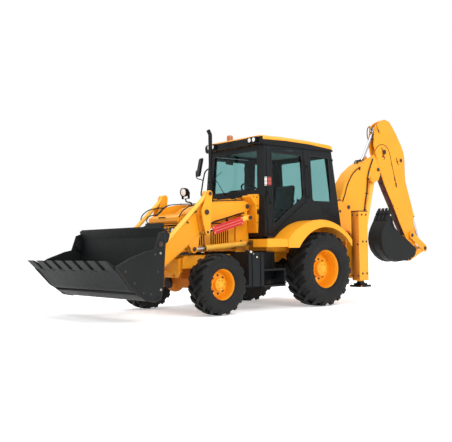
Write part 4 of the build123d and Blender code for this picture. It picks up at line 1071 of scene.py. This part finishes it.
# tanks and steps
bm = bmn()
for s in (1, -1):
    for x in (1400, 1580):
        tube(bm, [V(x, s * 540, 938), V(x, s * 970, 939), V(x, s * 979, 930), V(x, s * 979, 420), V(x, s * 970, 397), V(x, s * 540, 397)], 7, 8, 2)
    lathe(bm, V(1480, s * 780, 934), Z1, [(0, 52), (16, 52), (20, 46), (34, 44), (38, 38), (38, 0)], 32)
    # tread plate on each step
    for z in (404, 664):
        for i in range(11):
            for j in range(6):
                x, y = 862 + i * 42 + (21 if j % 2 else 0), 716 + j * 42
                if x < 1310:
                    obox(bm, V(x, s * y, z + 1.5), Vector((1, 1 if (i + j) % 2 else -1, 0)).normalized(), Vector((-1 if (i + j) % 2 else 1, 1, 0)).normalized(), Z1, 26, 6, 3)
        box(bm, 836, 1331, s * 960, s * 969, z - 28, z + 3)
    for x, z in ((850, 900), (1000, 900), (1180, 900), (1290, 900), (850, 520), (1290, 520)):
        bolt(bm, V(x, s * 700, z), Vector((0, s, 0)), 9, 7)
    prism(bm, rounded([(880, 540), (1270, 540), (1270, 860), (880, 860)], 20), s * 700, s * 706)
make("tank_trim", "chassis", black, bm, 1.5, 2, slot="charcoal_paint")
bm = bmn()
# bright caps and fittings at the side of the tank
for x, z, r in ((1612, 952, 20), (1488, 868, 15), (1560, 920, 9)):
    lathe(bm, V(x, 970, z - 10), Vector((0.25, 1, 0.1)), [(0, r), (26, r), (30, r * 0.8), (32, 0)], 24)
for s in (1, -1):
    lathe(bm, V(1480, s * 780, 972), Z1, [(0, 14), (5, 13), (6, 0)], 20)
make("bright_caps", "chassis", brass_fit, bm, 1, 2, slot="chrome_rod")

# rear fenders: rolled edge, tail lamps and blank plate
bm = bmn()
for s in (1, -1):
    arc = []
    for k in range(25):
        an = radians(42 + k * (142 - 42) / 24)
        x, z = 150 + 1110 * cos(an), 350 + 1110 * sin(an)
        if -645 <= x <= 930:
            arc.append(V(x, s * 1149, z - 3))
    tube(bm, arc, 7, 8, 1)
    tube(bm, [V(940, s * 1138, 1143), V(1396, s * 1138, 1143)], 6, 8, 1, smooth=False)
make("fender_edge", "chassis", yellow, bm, 0, 1, slot="yellow_paint", weighted=False)
bm = bmn(); br = bmn(); ba = bmn()
for s in (1, -1):
    box(bm, -690, -646, s * 860, s * 1080, 1130, 1236)
    box(br, -698, -689, s * 980, s * 1070, 1140, 1226)
    box(ba, -698, -689, s * 872, s * 970, 1140, 1226)
box(bm, -775, -757, -130, 130, 1330, 1450)
make("tail_lamp_cases", "chassis", black, bm, 4, 3, slot="black_paint")
make("tail_lamp_red", "chassis", red_lens, br, 3, 3, slot="glass")
make("tail_lamp_amber", "chassis", amber, ba, 3, 3, slot="glass")
bm = bmn(); box(bm, -781, -775, -118, 118, 1342, 1438)
make("blank_plate", "chassis", reflector, bm, 2, 2, slot="glass")

# cab sides: lower vent slots, grab rails, blocks on the rear corner posts, rivets round the frame
bm = bmn()
for s in (1, -1):
    tube(bm, [V(1086, s * (ys(1500) + 4), 1500), V(1080, s * (ys(1520) + 40), 1520), V(1062, s * (ys(1840) + 40), 1840), V(1056, s * (ys(1860) + 4), 1860)], 10, 10)
    tube(bm, [V(40, s * (ys(1880) + 3), 1880), V(38, s * (ys(1900) + 42), 1900), V(36, s * (ys(2380) + 42), 2380), V(34, s * (ys(2400) + 3), 2400)], 10, 10)
    for k in range(6):
        z = 1600 + k * 26
        plate(bm, [(-540, z), (-300, z), (-300, z + 10), (-540, z + 10)], side_at(s, 0), side_at(s, 4))
    # lamp-side blocks on the rear corner post
    box(bm, -660, -628, s * 712, s * 736, 2545, 2580)
for k in range(7):
    y = -420 + k * 140
    lathe(bm, rear_at(0)(y, 1640), Vector((-1, 0, 0)), [(0, 12), (4, 11), (6, 6), (6.5, 0)], 16)
make("cab_trim", "chassis", black, bm, 1.5, 2, slot="black_paint")

# axle details
bm = bmn()
lathe(bm, V(2265, -130, 465), X1, [(-175, 40), (-170, 70), (-150, 92), (150, 92), (165, 78), (170, 30)], 32)
for s in (1, -1):
    for k in range(8):
        an = 2 * pi * k / 8
        bolt(bm, V(2265 + 130 * sin(an) * 0.55, s * 520, 465 + 66 * cos(an) * 0.55), Vector((0, s, 0)), 8, 6, False)
    cyl(bm, V(2190, s * 130, 500), V(2190, s * 560, 470), 22, 18, 2)
    cyl(bm, V(2190, s * 560, 470), V(2160, s * 690, 468), 12, 14, 1)
make("front_axle_trim", "chassis", cast, bm, 2, 2, slot="yellow_paint")


# ------------------------------------------------------------------ pins, weld beads, hoses
def seam(bm, pts, y, r=4.0, inset=10):
    q = offset([(a, b) for a, b in pts], -inset)
    q = q + [q[0]]
    tube(bm, [V(x, y, z) for x, z in q], r, 6, 1, smooth=False)


YB = 450
PINS = [
    # body node, x, z, faces: (y of the face, direction), radius, height
    ("loader_towers", 1260, 1690, ((528, 1), (-528, -1)), 40, 10), ("loader_towers", 1240, 1080, ((530, 1), (-530, -1)), 36, 10),
    ("loader_arms", 2370, 1000, ((522, 1), (-522, -1)), 34, 12), ("loader_arms", 2230, 1570, ((667, 1), (-667, -1)), 42, 10),
    ("tilt_levers", 2160, 1860, ((668, 1), (-668, -1)), 32, 9), ("tilt_levers", 2210, 1260, ((657, 1), (-657, -1)), 24, 5),
    ("loader_arms", 1310, 1500, ((654, 1), (-654, -1)), 36, 10), ("loader_bucket", 3280, 600, ((552, 1), (-552, -1)), 40, 10),
    ("loader_bucket", 3210, 890, ((658, 1), (-658, -1)), 34, 10), ("loader_bucket", 3475, 1080, ((1183, 1), (-1183, -1)), 36, 8),
    ("swing_post", -1470, 880, ((YB + 170, 1), (YB - 170, -1)), 44, 10), ("swing_post", -1620, 480, ((YB + 156, 1), (YB - 156, -1)), 40, 10),
    ("boom", -1270, 1740, ((YB + 125, 1), (YB - 125, -1)), 38, 10), ("boom", -2190, 2500, ((YB + 125, 1), (YB - 125, -1)), 36, 10),
    ("boom", -2450, 2870, ((YB + 89, 1), (YB - 89, -1)), 48, 10), ("dipper", -3010, 2740, ((YB + 76, 1), (YB - 76, -1)), 38, 9),
    ("dipper", -2235, 3300, ((YB + 68, 1), (YB - 68, -1)), 38, 3), ("dipper", -3275, 1212, ((YB + 122, 1), (YB - 122, -1)), 40, 9),
    ("bucket_lever", -3715, 942, ((YB + 128, 1), (YB - 128, -1)), 38, 9), ("bucket_link", -3200, 735, ((YB + 106, 1), (YB - 106, -1)), 34, 8),
    ("backhoe_bucket", -3390, 910, ((YB + 83, 1), (YB - 83, -1)), 36, 8),
]
by_body = {}
for node, x, z, faces, r, h in PINS:
    by_body.setdefault(NODE_BODY(node), []).append((x, z, faces, r, h))
for body, rows in by_body.items():
    bm = bmn()
    for x, z, faces, r, h in rows:
        for y, d in faces:
            nv = Vector((0, d, 0))
            nut_pin(bm, V(x, y - d * 2, z), nv, r, h + 2)
            lathe(bm, V(x, y + d * (h - 1), z), nv, [(0, r * 0.30), (5, r * 0.26), (7, r * 0.12), (7, 0)], 14)
    make(f"pins_{body}", body, pin_steel, bm, 0.6, 1, slot="cast")

# loader arms: weld seams, hoses, stiffener edges
LA = NODE_BODY("loader_arms")
ARM = [(1270, 1600), (1215, 1640), (1190, 1700), (1210, 1760), (1280, 1785), (1960, 1745), (2190, 1700), (2840, 1165), (3330, 690), (3320, 540), (3230, 540), (2560, 1000), (2230, 1270), (2030, 1400), (1960, 1435)]
bm = bmn()
for s in (1, -1):
    seam(bm, ARM, s * 515, 4, 12)
    # raised doubling plates round the pins
    prism(bm, rounded([(2130, 1470), (2330, 1470), (2330, 1650), (2130, 1650)], 60, 5), s * 515, s * 521)
make("arm_seams", LA, weld_mat, bm, 0, 1, slot="yellow_paint", weighted=False)
bm = bmn()
for y, pts in ((600, [(2660, 1548), (2610, 1615), (2476, 1697), (2308, 1728), (2188, 1726)]),
               (600, [(2171, 1719), (2343, 1621), (2478, 1591), (2536, 1524), (2513, 1459), (2481, 1433)])):
    for s in (1, -1):
        P = [V(pts[0][0], s * 524, pts[0][1] - 60)] + [V(x, s * 530, z - 40) for x, z in pts[1:-1]] + [V(pts[-1][0], s * 524, pts[-1][1] - 30)]
        tube(bm, P, 9, 10)
for s in (1, -1):
    tube(bm, [V(1330, s * 522, 1580), V(1458, s * 524, 1561), V(1720, s * 524, 1490), V(1971, s * 524, 1429), V(2110, s * 524, 1352), V(2260, s * 524, 1240)], 11, 10)
    tube(bm, [V(1330, s * 470, 1792), V(1600, s * 470, 1778), V(1960, s * 470, 1758), V(2180, s * 470, 1716), V(2400, s * 470, 1540), V(2700, s * 470, 1296), V(2860, s * 470, 1160)], 8, 10)
    tube(bm, [V(1330, s * 492, 1792), V(1600, s * 492, 1778), V(1960, s * 492, 1758), V(2180, s * 492, 1716), V(2400, s * 492, 1540), V(2640, s * 492, 1345)], 8, 10)
make("arm_hoses", LA, hose_mat, bm, 0, 1, slot="plastic", weighted=False)
bm = bmn()
for s in (1, -1):
    for x, z in ((1500, 1783), (1860, 1761), (2300, 1620), (2600, 1378)):
        obox(bm, V(x, s * 481, z + 3), X1, Y1, Z1, 26, 60, 14)
        bolt(bm, V(x, s * 481, z + 10), Z1, 7, 5, False)
    for x, z in ((1700, 1490), (2110, 1350)):
        obox(bm, V(x, s * 524, z), X1, Y1, Z1, 26, 20, 40)
make("arm_clamps", LA, pin_steel, bm, 1, 1, slot="cast")

# red cover plate over each tilt ram
TBY = NODE_BODY("tilt_barrels")
B0, B1 = (1310, 1500), (2210, 1260)
LL = hypot(B1[0] - B0[0], B1[1] - B0[1]); ux, uz = (B1[0] - B0[0]) / LL, (B1[1] - B0[1]) / LL


def on_ram(d, h):
    return (B0[0] + ux * d - uz * h, B0[1] + uz * d + ux * h)


bm = bmn()
for s in (1, -1):
    prism(bm, [on_ram(190, -62), on_ram(190, 62), on_ram(835, 66), on_ram(835, -66)], s * 668, s * 675)
    for h in (-62, 54):
        prism(bm, [on_ram(190, h), on_ram(190, h + 8), on_ram(480, h + 8), on_ram(480, h)], s * 610, s * 669)
    for d in (230, 440):
        prism(bm, [on_ram(d, -60), on_ram(d, 60), on_ram(d + 10, 60), on_ram(d + 10, -60)], s * 634, s * 669)
make("ram_covers", TBY, red, bm, 2, 2, slot="yellow_paint")
# pale pink ribs and bolt heads along each red cover: painted highlight stripes on the red
bm = bmn()
for s in (1, -1):
    for h in (-24, 18):
        prism(bm, [on_ram(210, h), on_ram(210, h + 5), on_ram(815, h + 5), on_ram(815, h)], s * 674, s * 678)
    for d in (215, 810):
        for h in (-46, 46):
            bolt(bm, V(on_ram(d, h)[0], s * 675, on_ram(d, h)[1]), Vector((0, s, 0)), 8, 5)
make("ram_cover_highlight_ribs", TBY, plain("pink_ribs_painted_highlight", (0.70, 0.30, 0.20), 0.45, 0.0, 60, 0.12), bm, 1, 1, slot="yellow_paint")

# loader bucket and jaw: wear plates, bolts, edge strips
LBK, JAW = NODE_BODY("loader_bucket"), NODE_BODY("bucket_jaw")
bm = bmn()
for s in (1, -1):
    prism(bm, [(3468, 340), (3560, 296), (3705, 324), (3862, 436), (3862, 452), (3700, 352), (3560, 326), (3480, 362)], s * 1170, s * 1180)
    prism(bm, [(3576, 1008), (3700, 983), (3992, 883), (3984, 862), (3696, 960), (3570, 986)], s * 1170, s * 1178)
    prism(bm, rounded([(3440, 1030), (3530, 1030), (3530, 1130), (3440, 1130)], 40, 5), s * 1170, s * 1178)
for k in range(7):
    y = -1060 + (k + 0.5) * 2120 / 7
    box(bm, 4120, 4180, y - 46, y + 46, 712, 726)
prism(bm, [(3900, 436), (3960, 470), (4170, 700), (4160, 712), (3950, 486), (3894, 452)], -1146, -1126)
prism(bm, [(3900, 436), (3960, 470), (4170, 700), (4160, 712), (3950, 486), (3894, 452)], 1126, 1146)
make("jaw_wear_strips", JAW, bucket_mat, bm, 3, 2, slot="bucket_steel")
bm = bmn()
for s in (1, -1):
    for x, z in ((3463, 1087), (3472, 955), (3472, 454)):
        bolt(bm, V(x, s * 1171, z), Vector((0, s, 0)), 12, 8)
make("jaw_bright_bolts", JAW, steel, bm, 0.8, 1, slot="bucket_steel")
bm = bmn()
for s in (1, -1):
    for x, z in ((3560, 940), (3640, 400), (3760, 420), (3900, 560), (4040, 720), (3520, 700)):
        bolt(bm, V(x, s * 1170, z), Vector((0, s, 0)), 12, 7)
    seam(bm, [(3400, 1262), (3486, 1234), (3572, 1004), (3700, 979), (3990, 879), (4190, 783), (3956, 484), (3876, 436), (3718, 318), (3560, 288), (3470, 318), (3431, 482), (3401, 900), (3378, 1180)], s * 1170, 3.5, 6)
make("jaw_bolts", JAW, pin_steel, bm, 0.8, 1, slot="bucket_steel")
bm = bmn()
box(bm, 3404, 3416, -1100, 1100, 1296, 1334)
for k in range(5):
    y = -800 + k * 400
    prism(bm, [(3418, 500), (3440, 500), (3404, 1180), (3386, 1180)], y - 7, y + 7)
for s in (1, -1):
    for y in (470, 592):
        obox(bm, V(3330, s * y, 900), Vector((0.2, 0, 1)).normalized(), Y1, Vector((-1, 0, 0.2)).normalized(), 14, 90, 12)
make("bucket_back_ribs", LBK, bucket_mat, bm, 3, 2, slot="bucket_steel")

# ------------------------------------------------------------------ rear frame, legs and arm
for side, s in (("left", 1), ("right", -1)):
    body = NODE_BODY(f"stabiliser_leg_{side}")
    bm = bmn()
    plate(bm, rounded([(-1104, s * 918), (-816, s * 918), (-816, s * 1206), (-1104, s * 1206)], 46, 5), lambda x, y: V(x, y, 282), lambda x, y: V(x, y, 316))
    box(bm, -1054, -866, s * 986, s * 1144, 314, 349)
    for x in (-1074, -846):
        for y in (945, 1180):
            bolt(bm, V(x, s * y, 316), Z1, 9, 7)
    lathe(bm, V(-960, s * 1065, 349), Z1, [(0, 76), (14, 70), (30, 62)], 28)
    make(f"leg_pad_{side}", body, black, bm, 3, 2, slot="black_paint")
bm = bmn()
for s in (1, -1):
    # cap frame, straps, wear-pad screws on each leg housing
    box(bm, -1090, -835, s * 1150, s * 1157, 1622, 1640)
    box(bm, -840, -834, s * 978, s * 1157, 1622, 1640)
    for x, z in ((-922, 1566), (-941, 1088), (-1040, 1566), (-1040, 1088), (-1040, 520), (-922, 520)):
        bolt(bm, V(x, s * 1152, z), Vector((0, s, 0)), 15, 9)
    for z in (480, 1040, 1560):
        for y in (1010, 1120):
            bolt(bm, V(-840, s * y, z), X1, 12, 8)
make("leg_bolts", "chassis", pin_steel, bm, 0.8, 1, slot="cast")
# a thin sheet of the shaded copy of the yellow on the front face of each leg housing: painted shade
bm = bmn()
for s in (1, -1):
    box(bm, -842, -838.5, s * 984, s * 1146, 420, 1616)
make("leg_face_painted_shade", "chassis", orange_shade, bm, 0, 1, slot="yellow_paint", weighted=False)
bm = bmn()
for z in (1112, 1228, 442, 558):
    cyl(bm, V(-861, -940, z), V(-861, 940, z), 5, 8)
for y in (-700, -200, 200, 700):
    for z in (1135, 1205, 465, 535):
        bolt(bm, V(-862, y, z), X1, 11, 8)
make("rear_frame_seams", "chassis", yellow, bm, 0.6, 1, slot="yellow_paint")

BO, DI = NODE_BODY("boom"), NODE_BODY("dipper")
BOOM = [(-1356, 850), (-1356, 1190), (-1290, 1285), (-1092, 1314), (-960, 1420), (-885, 1530), (-862, 1650), (-872, 1752), (-940, 1830), (-1012, 1850), (-1045, 1900), (-1105, 2029), (-1192, 2210), (-1347, 2392), (-1575, 2545), (-1808, 2655), (-2070, 2780),
        (-2162, 2690), (-2225, 2597), (-2259, 2487), (-2250, 2400), (-2195, 2300), (-1900, 2290), (-1775, 1720), (-1700, 1300), (-1600, 860), (-1470, 780)]
bm = bmn()
for d in (1, -1):
    seam(bm, BOOM, YB + d * 117, 4, 14)
make("boom_seams", BO, weld_mat, bm, 0, 1, slot="yellow_paint", weighted=False)
DIP = [(-2170, 3250), (-2150, 3120), (-2142, 2990), (-2178, 2870), (-2232, 2700), (-2335, 2465), (-2430, 2262), (-2520, 2116), (-2715, 1822), (-2890, 1523), (-3085, 1219), (-3120, 1120),
       (-3440, 1120), (-3440, 1320), (-3335, 1840), (-3267, 2010), (-3205, 2160), (-3152, 2330), (-3140, 2600), (-3138, 2780), (-3105, 2920), (-3026, 3062), (-2871, 3264), (-2750, 3400), (-2654, 3497), (-2500, 3530), (-2300, 3440), (-2180, 3360)]
bm = bmn()
for d in (1, -1):
    seam(bm, DIP, YB + d * 70, 3.5, 13)
make("dipper_seams", DI, weld_mat, bm, 0, 1, slot="yellow_paint", weighted=False)
# shaded inner face of the dipper
bm = bmn()
face = [(-2338, 2440), (-2430, 2262), (-2520, 2116), (-2715, 1822), (-2890, 1523), (-3085, 1219)]
for (x0, z0), (x1, z1) in zip(face, face[1:]):
    L = hypot(x1 - x0, z1 - z0); nx, nz = -(z1 - z0) / L, (x1 - x0) / L
    if nx < 0:
        nx, nz = -nx, -nz
    prism(bm, [(x0, z0), (x1, z1), (x1 + nx * 3, z1 + nz * 3), (x0 + nx * 3, z0 + nz * 3)], YB - 62, YB + 62)
make("dipper_inner_face", DI, brown, bm, 0, 1, slot="yellow_paint", weighted=False)

# hoses and steel lines that ride on the boom
bm = bmn()
yo = YB + 117 + 8
tube(bm, [V(-1100, yo, 1840), V(-1130, yo, 1900), V(-1168, yo, 1966), V(-1225, yo, 2110), V(-1290, yo, 2223), V(-1400, yo, 2365), V(-1531, yo, 2462), V(-1640, yo, 2520)], 10, 10)
tube(bm, [V(-880, YB + 60, 1765), V(-884, yo - 4, 1782), V(-930, yo, 1836), V(-1000, yo, 1868), V(-1054, yo, 1862)], 10, 10)
for k in (0, 1):
    q = yo + k * 3
    tube(bm, [V(-2038 + k * 22, q, 2703), V(-1950 + k * 22, q, 2540), V(-1879 + k * 22, q, 2374), V(-1850 + k * 22, q, 2200), V(-1835 + k * 22, q, 2066), V(-1790 + k * 22, q, 1890), V(-1757 + k * 22, q, 1740), V(-1745 + k * 22, q, 1560)], 6.5, 10)
for k, dy in enumerate((-40, 0, 40)):
    y = YB + dy
    tube(bm, [V(-1660, y, 2600), V(-1700, y, 2660), V(-1775, y, 2650), V(-1840, y, 2690 + 6 * k)], 10, 10)
make("boom_hoses", BO, hose_mat, bm, 0, 1, slot="plastic", weighted=False)
# clamps and pin discs on the boom in the dark brown of painted shade
bm = bmn()
for x, z in ((-1866, 2300), (-1752, 1700), (-1822, 2020)):
    obox(bm, V(x + 8, yo + 4, z), X1, Y1, Z1, 58, 18, 26)
    bolt(bm, V(x + 8, yo + 13, z), Y1, 9, 6)
for x, z in ((-1029, 1659), (-968, 1513), (-1620, 2480)):
    lathe(bm, V(x, YB + 117, z), Y1, [(0, 26), (8, 25), (10, 18), (10, 0)], 24)
make("boom_clamps", BO, brown, bm, 1, 1, slot="cast")
# head end: hoses up to the dipper, thin arc line, and dark marks of painted shade round the holes and pins
bm = bmn()
yd = YB + 70 + 0.8
tube(bm, [V(x, yd, z) for x, z in ((-2160, 2868), (-2280, 2985), (-2459, 3016), (-2610, 2917), (-2704, 2645), (-2774, 2425), (-2822, 2299))], 6.5, 10)
for dy in (-58, 58):
    tube(bm, [V(-2190, YB + dy, 3380), V(-2120, YB + dy, 3330), V(-2100, YB + dy, 3220), V(-2120, YB + dy, 3130), V(-2150, YB + dy, 3090)], 9, 10)
make("dipper_lines", DI, hose_mat, bm, 0, 1, slot="plastic", weighted=False)
# brown slabs, discs and curved strokes at the pivots and the ram pin: painted shade of holes and pins
bm = bmn()
for x, z, a_ in ((-2790, 2350, 16), (-2830, 2235, 20), (-2700, 2640, 9)):
    obox(bm, V(x, yd, z), Vector((0.25, 0, 1)).normalized(), Y1, Vector((1, 0, -0.25)).normalized(), a_ * 5, 14, a_ * 1.6)
for x, z, r in ((-2417, 2781, 20), (-2893, 2711, 20), (-2724, 1817, 9), (-2854, 1756, 9), (-2301, 3288, 16)):
    lathe(bm, V(x, YB + 70, z), Y1, [(0, r), (6, r), (8, r * 0.7), (8, 0)], 22)
tube(bm, [V(x, YB + 72, z) for x, z in ((-2380, 2954), (-2415, 2890), (-2426, 2816), (-2470, 2760), (-2448, 2723))], 8, 8)
tube(bm, [V(x, YB + 72, z) for x, z in ((-2235, 3400), (-2262, 3330), (-2300, 3262), (-2330, 3240))], 8, 8)
tube(bm, [V(x, YB + 72, z) for x, z in ((-2880, 2790), (-2870, 2740), (-2890, 2680), (-2930, 2650))], 7, 8)
make("dipper_shade_marks", DI, brown, bm, 1, 1, slot="cast")

# rear bucket: cutting edge, tooth roots, side cutters, wear strips
DB = NODE_BODY("backhoe_bucket")
bm = bmn()
for i in range(4):
    y = YB - 132 + i * 88
    prism(bm, [(-2390, 1500), (-2462, 1572), (-2505, 1640), (-2480, 1655), (-2420, 1600), (-2368, 1516)], y - 30, y + 30)
for d in (1, -1):
    prism(bm, [(-2548, 1588), (-2570, 1450), (-2630, 1352), (-2600, 1338), (-2530, 1440), (-2500, 1588)], YB + d * 165, YB + d * 173)
    prism(bm, [(-2900, 702), (-2700, 692), (-2600, 707), (-2490, 750), (-2380, 817), (-2262, 930), (-2290, 950), (-2400, 850), (-2500, 786), (-2610, 742), (-2700, 730), (-2900, 738)], YB + d * 165, YB + d * 171)
for y in (-90, 90):
    pts = [(-2900, 699), (-2700, 689), (-2600, 703), (-2490, 746), (-2378, 813), (-2257, 928), (-2202, 1040)]
    for (x0, z0), (x1, z1) in zip(pts, pts[1:]):
        L = hypot(x1 - x0, z1 - z0); nx, nz = (z1 - z0) / L, -(x1 - x0) / L
        prism(bm, [(x0, z0), (x1, z1), (x1 + nx * 9, z1 + nz * 9), (x0 + nx * 9, z0 + nz * 9)], YB + y - 22, YB + y + 22)
make("rear_bucket_trim", DB, bucket_mat, bm, 2.5, 2, slot="bucket_steel")
bm = bmn()
for d in (1, -1):
    for x, z in ((-2556, 1540), (-2580, 1420), (-2640, 720), (-2440, 800)):
        bolt(bm, V(x, YB + d * 172, z), Vector((0, d, 0)), 10, 7)
make("rear_bucket_bolts", DB, pin_steel, bm, 0.8, 1, slot="bucket_steel")
# slew rams' end caps and bolts on the carriage
CB = NODE_BODY("side_shift_carriage")
bm = bmn()
for z in (700, 900):
    for d in (1, -1):
        lathe(bm, V(-1035, YB + d * 262, z), Vector((0, d, 0)), [(0, 50), (16, 50), (22, 42), (22, 0)], 28)
for x, z in ((-1012, 440), (-1012, 1240)):
    for d in (-250, 250):
        bolt(bm, V(-1010, YB + d, z), Vector((-1, 0, 0)), 14, 10)
make("carriage_trim", CB, yellow, bm, 1.5, 2, slot="yellow_paint")
# gland rings on every ram
GL = [("lift_barrels", (1240, 1080), (2370, 1000), (470, -470), 905, 52), ("tilt_barrels", (1310, 1500), (2210, 1260), (592, -592), 520, 53),
      ("boom_barrel", (-2190, 2500), (-1620, 480), (450,), 1380, 70), ("dipper_barrel", (-1270, 1740), (-2235, 3300), (450,), 1040, 63), ("bucket_barrel", (-3010, 2740), (-3715, 942), (450,), 1230, 54)]
for node, a_, b2, ysl, lb, r in GL:
    bm = bmn()
    L = hypot(b2[0] - a_[0], b2[1] - a_[1])
    for y in ysl:
        ax2 = (V(b2[0], y, b2[1]) - V(a_[0], y, a_[1])).normalized()
        p = V(a_[0], y, a_[1]) + ax2 * (lb - 16) / 1000
        lathe(bm, p, ax2, [(0, r), (12, r), (14, r - 3), (19, r - 6), (19, r * 0.66), (0, r * 0.66)], 32, closed=True)
        if r < 60:
            q = V(a_[0], y, a_[1]) + ax2 * 0.12
            nn = Z1 if ax2.z < 0.6 else X1
            lathe(bm, q + nn * (r - 10) / 1000, nn, [(0, 14), (14, 14), (16, 10), (24, 9)], 16)
    make("gland_" + node, NODE_BODY(node), pin_steel, bm, 0.6, 1, slot="cast")

# ------------------------------------------------------------------ camera, floor and light
CAM = dict(f=712.6, pos=(9.1675, 9.2085, 1.0259), yaw=-130.603, pitch=2.093, roll=-0.848)


def place_camera():
    cy, cp = radians(CAM["yaw"]), radians(CAM["pitch"])
    fw = Vector((cos(cy) * cos(cp), sin(cy) * cos(cp), sin(cp)))
    r = fw.cross(Vector((0, 0, 1))).normalized()
    u = r.cross(fw)
    a = radians(CAM["roll"])
    r2 = r * cos(a) + u * sin(a)
    u2 = -r * sin(a) + u * cos(a)
    cam = bpy.data.cameras.new("camera")
    cam.sensor_fit = "HORIZONTAL"; cam.sensor_width = 36.0
    cam.lens = CAM["f"] / 452 * 36
    cam.clip_start = 0.1; cam.clip_end = 200
    o = bpy.data.objects.new("camera", cam)
    scene.collection.objects.link(o)
    m = Matrix((r2, u2, -fw)).transposed().to_4x4()
    x, y, z = CAM["pos"]
    m.translation = Vector((x + OX, y, z))
    o.matrix_world = m
    scene.camera = o
    return fw, r2


FW, RIGHT = place_camera()


def area(name, pos, target, size, power, col=(1, 1, 1)):
    l = bpy.data.lights.new(name, "AREA")
    l.shape = "RECTANGLE"; l.size = size[0]; l.size_y = size[1]; l.energy = power; l.color = col
    o = bpy.data.objects.new(name, l)
    scene.collection.objects.link(o)
    o.location = pos
    o.rotation_euler = (Vector(target) - Vector(pos)).to_track_quat("-Z", "Y").to_euler()
    return o


def stage():
    bm = bmn()
    s = 60.0
    v = [bm.verts.new((x, y, 0)) for x, y in ((-s, -s), (s, -s), (s, s), (-s, s))]
    bm.faces.new(v)
    me = bpy.data.meshes.new("floor"); bm.to_mesh(me); bm.free()
    o = bpy.data.objects.new("floor", me)
    scene.collection.objects.link(o)
    m, nt, b = new_mat("floor")
    n = noise(nt, coords(nt), 0.8, 3)
    link(nt, ramp(nt, n, [(0.3, (0.93, 0.93, 0.93)), (0.7, (0.95, 0.95, 0.95))]), b.inputs["Base Color"])
    b.inputs["Roughness"].default_value = 0.9
    b.inputs["Specular IOR Level"].default_value = 0.1
    b.inputs["Emission Color"].default_value = (1.0, 1.0, 1.0, 1)
    b.inputs["Emission Strength"].default_value = 0.35
    me.materials.append(m)
    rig.stage(o)
    w = bpy.data.worlds.new("world"); scene.world = w
    w.use_nodes = True
    bg = w.node_tree.nodes["Background"]
    bg.inputs["Color"].default_value = (1.0, 1.0, 1.0, 1)
    bg.inputs["Strength"].default_value = 1.0
    # a bright even surround, a mild key from the left above the front, a top panel
    area("key", (3.0, 10.0, 7.5), (0.3, 0.3, 1.2), (6, 5), 620)
    area("top", (0.0, 0.0, 11.0), (0, 0, 0), (9, 6), 420)
    area("front", (11.0, 2.0, 4.0), (2.5, 0, 1.0), (4, 3), 90)
    scene.view_settings.view_transform = "Standard"
    scene.view_settings.look = "None"


stage()

size = [[list(v) for v in CAD_BOX], [list(v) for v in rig.bounds()]]
json.dump(size, open("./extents.json", "w"))
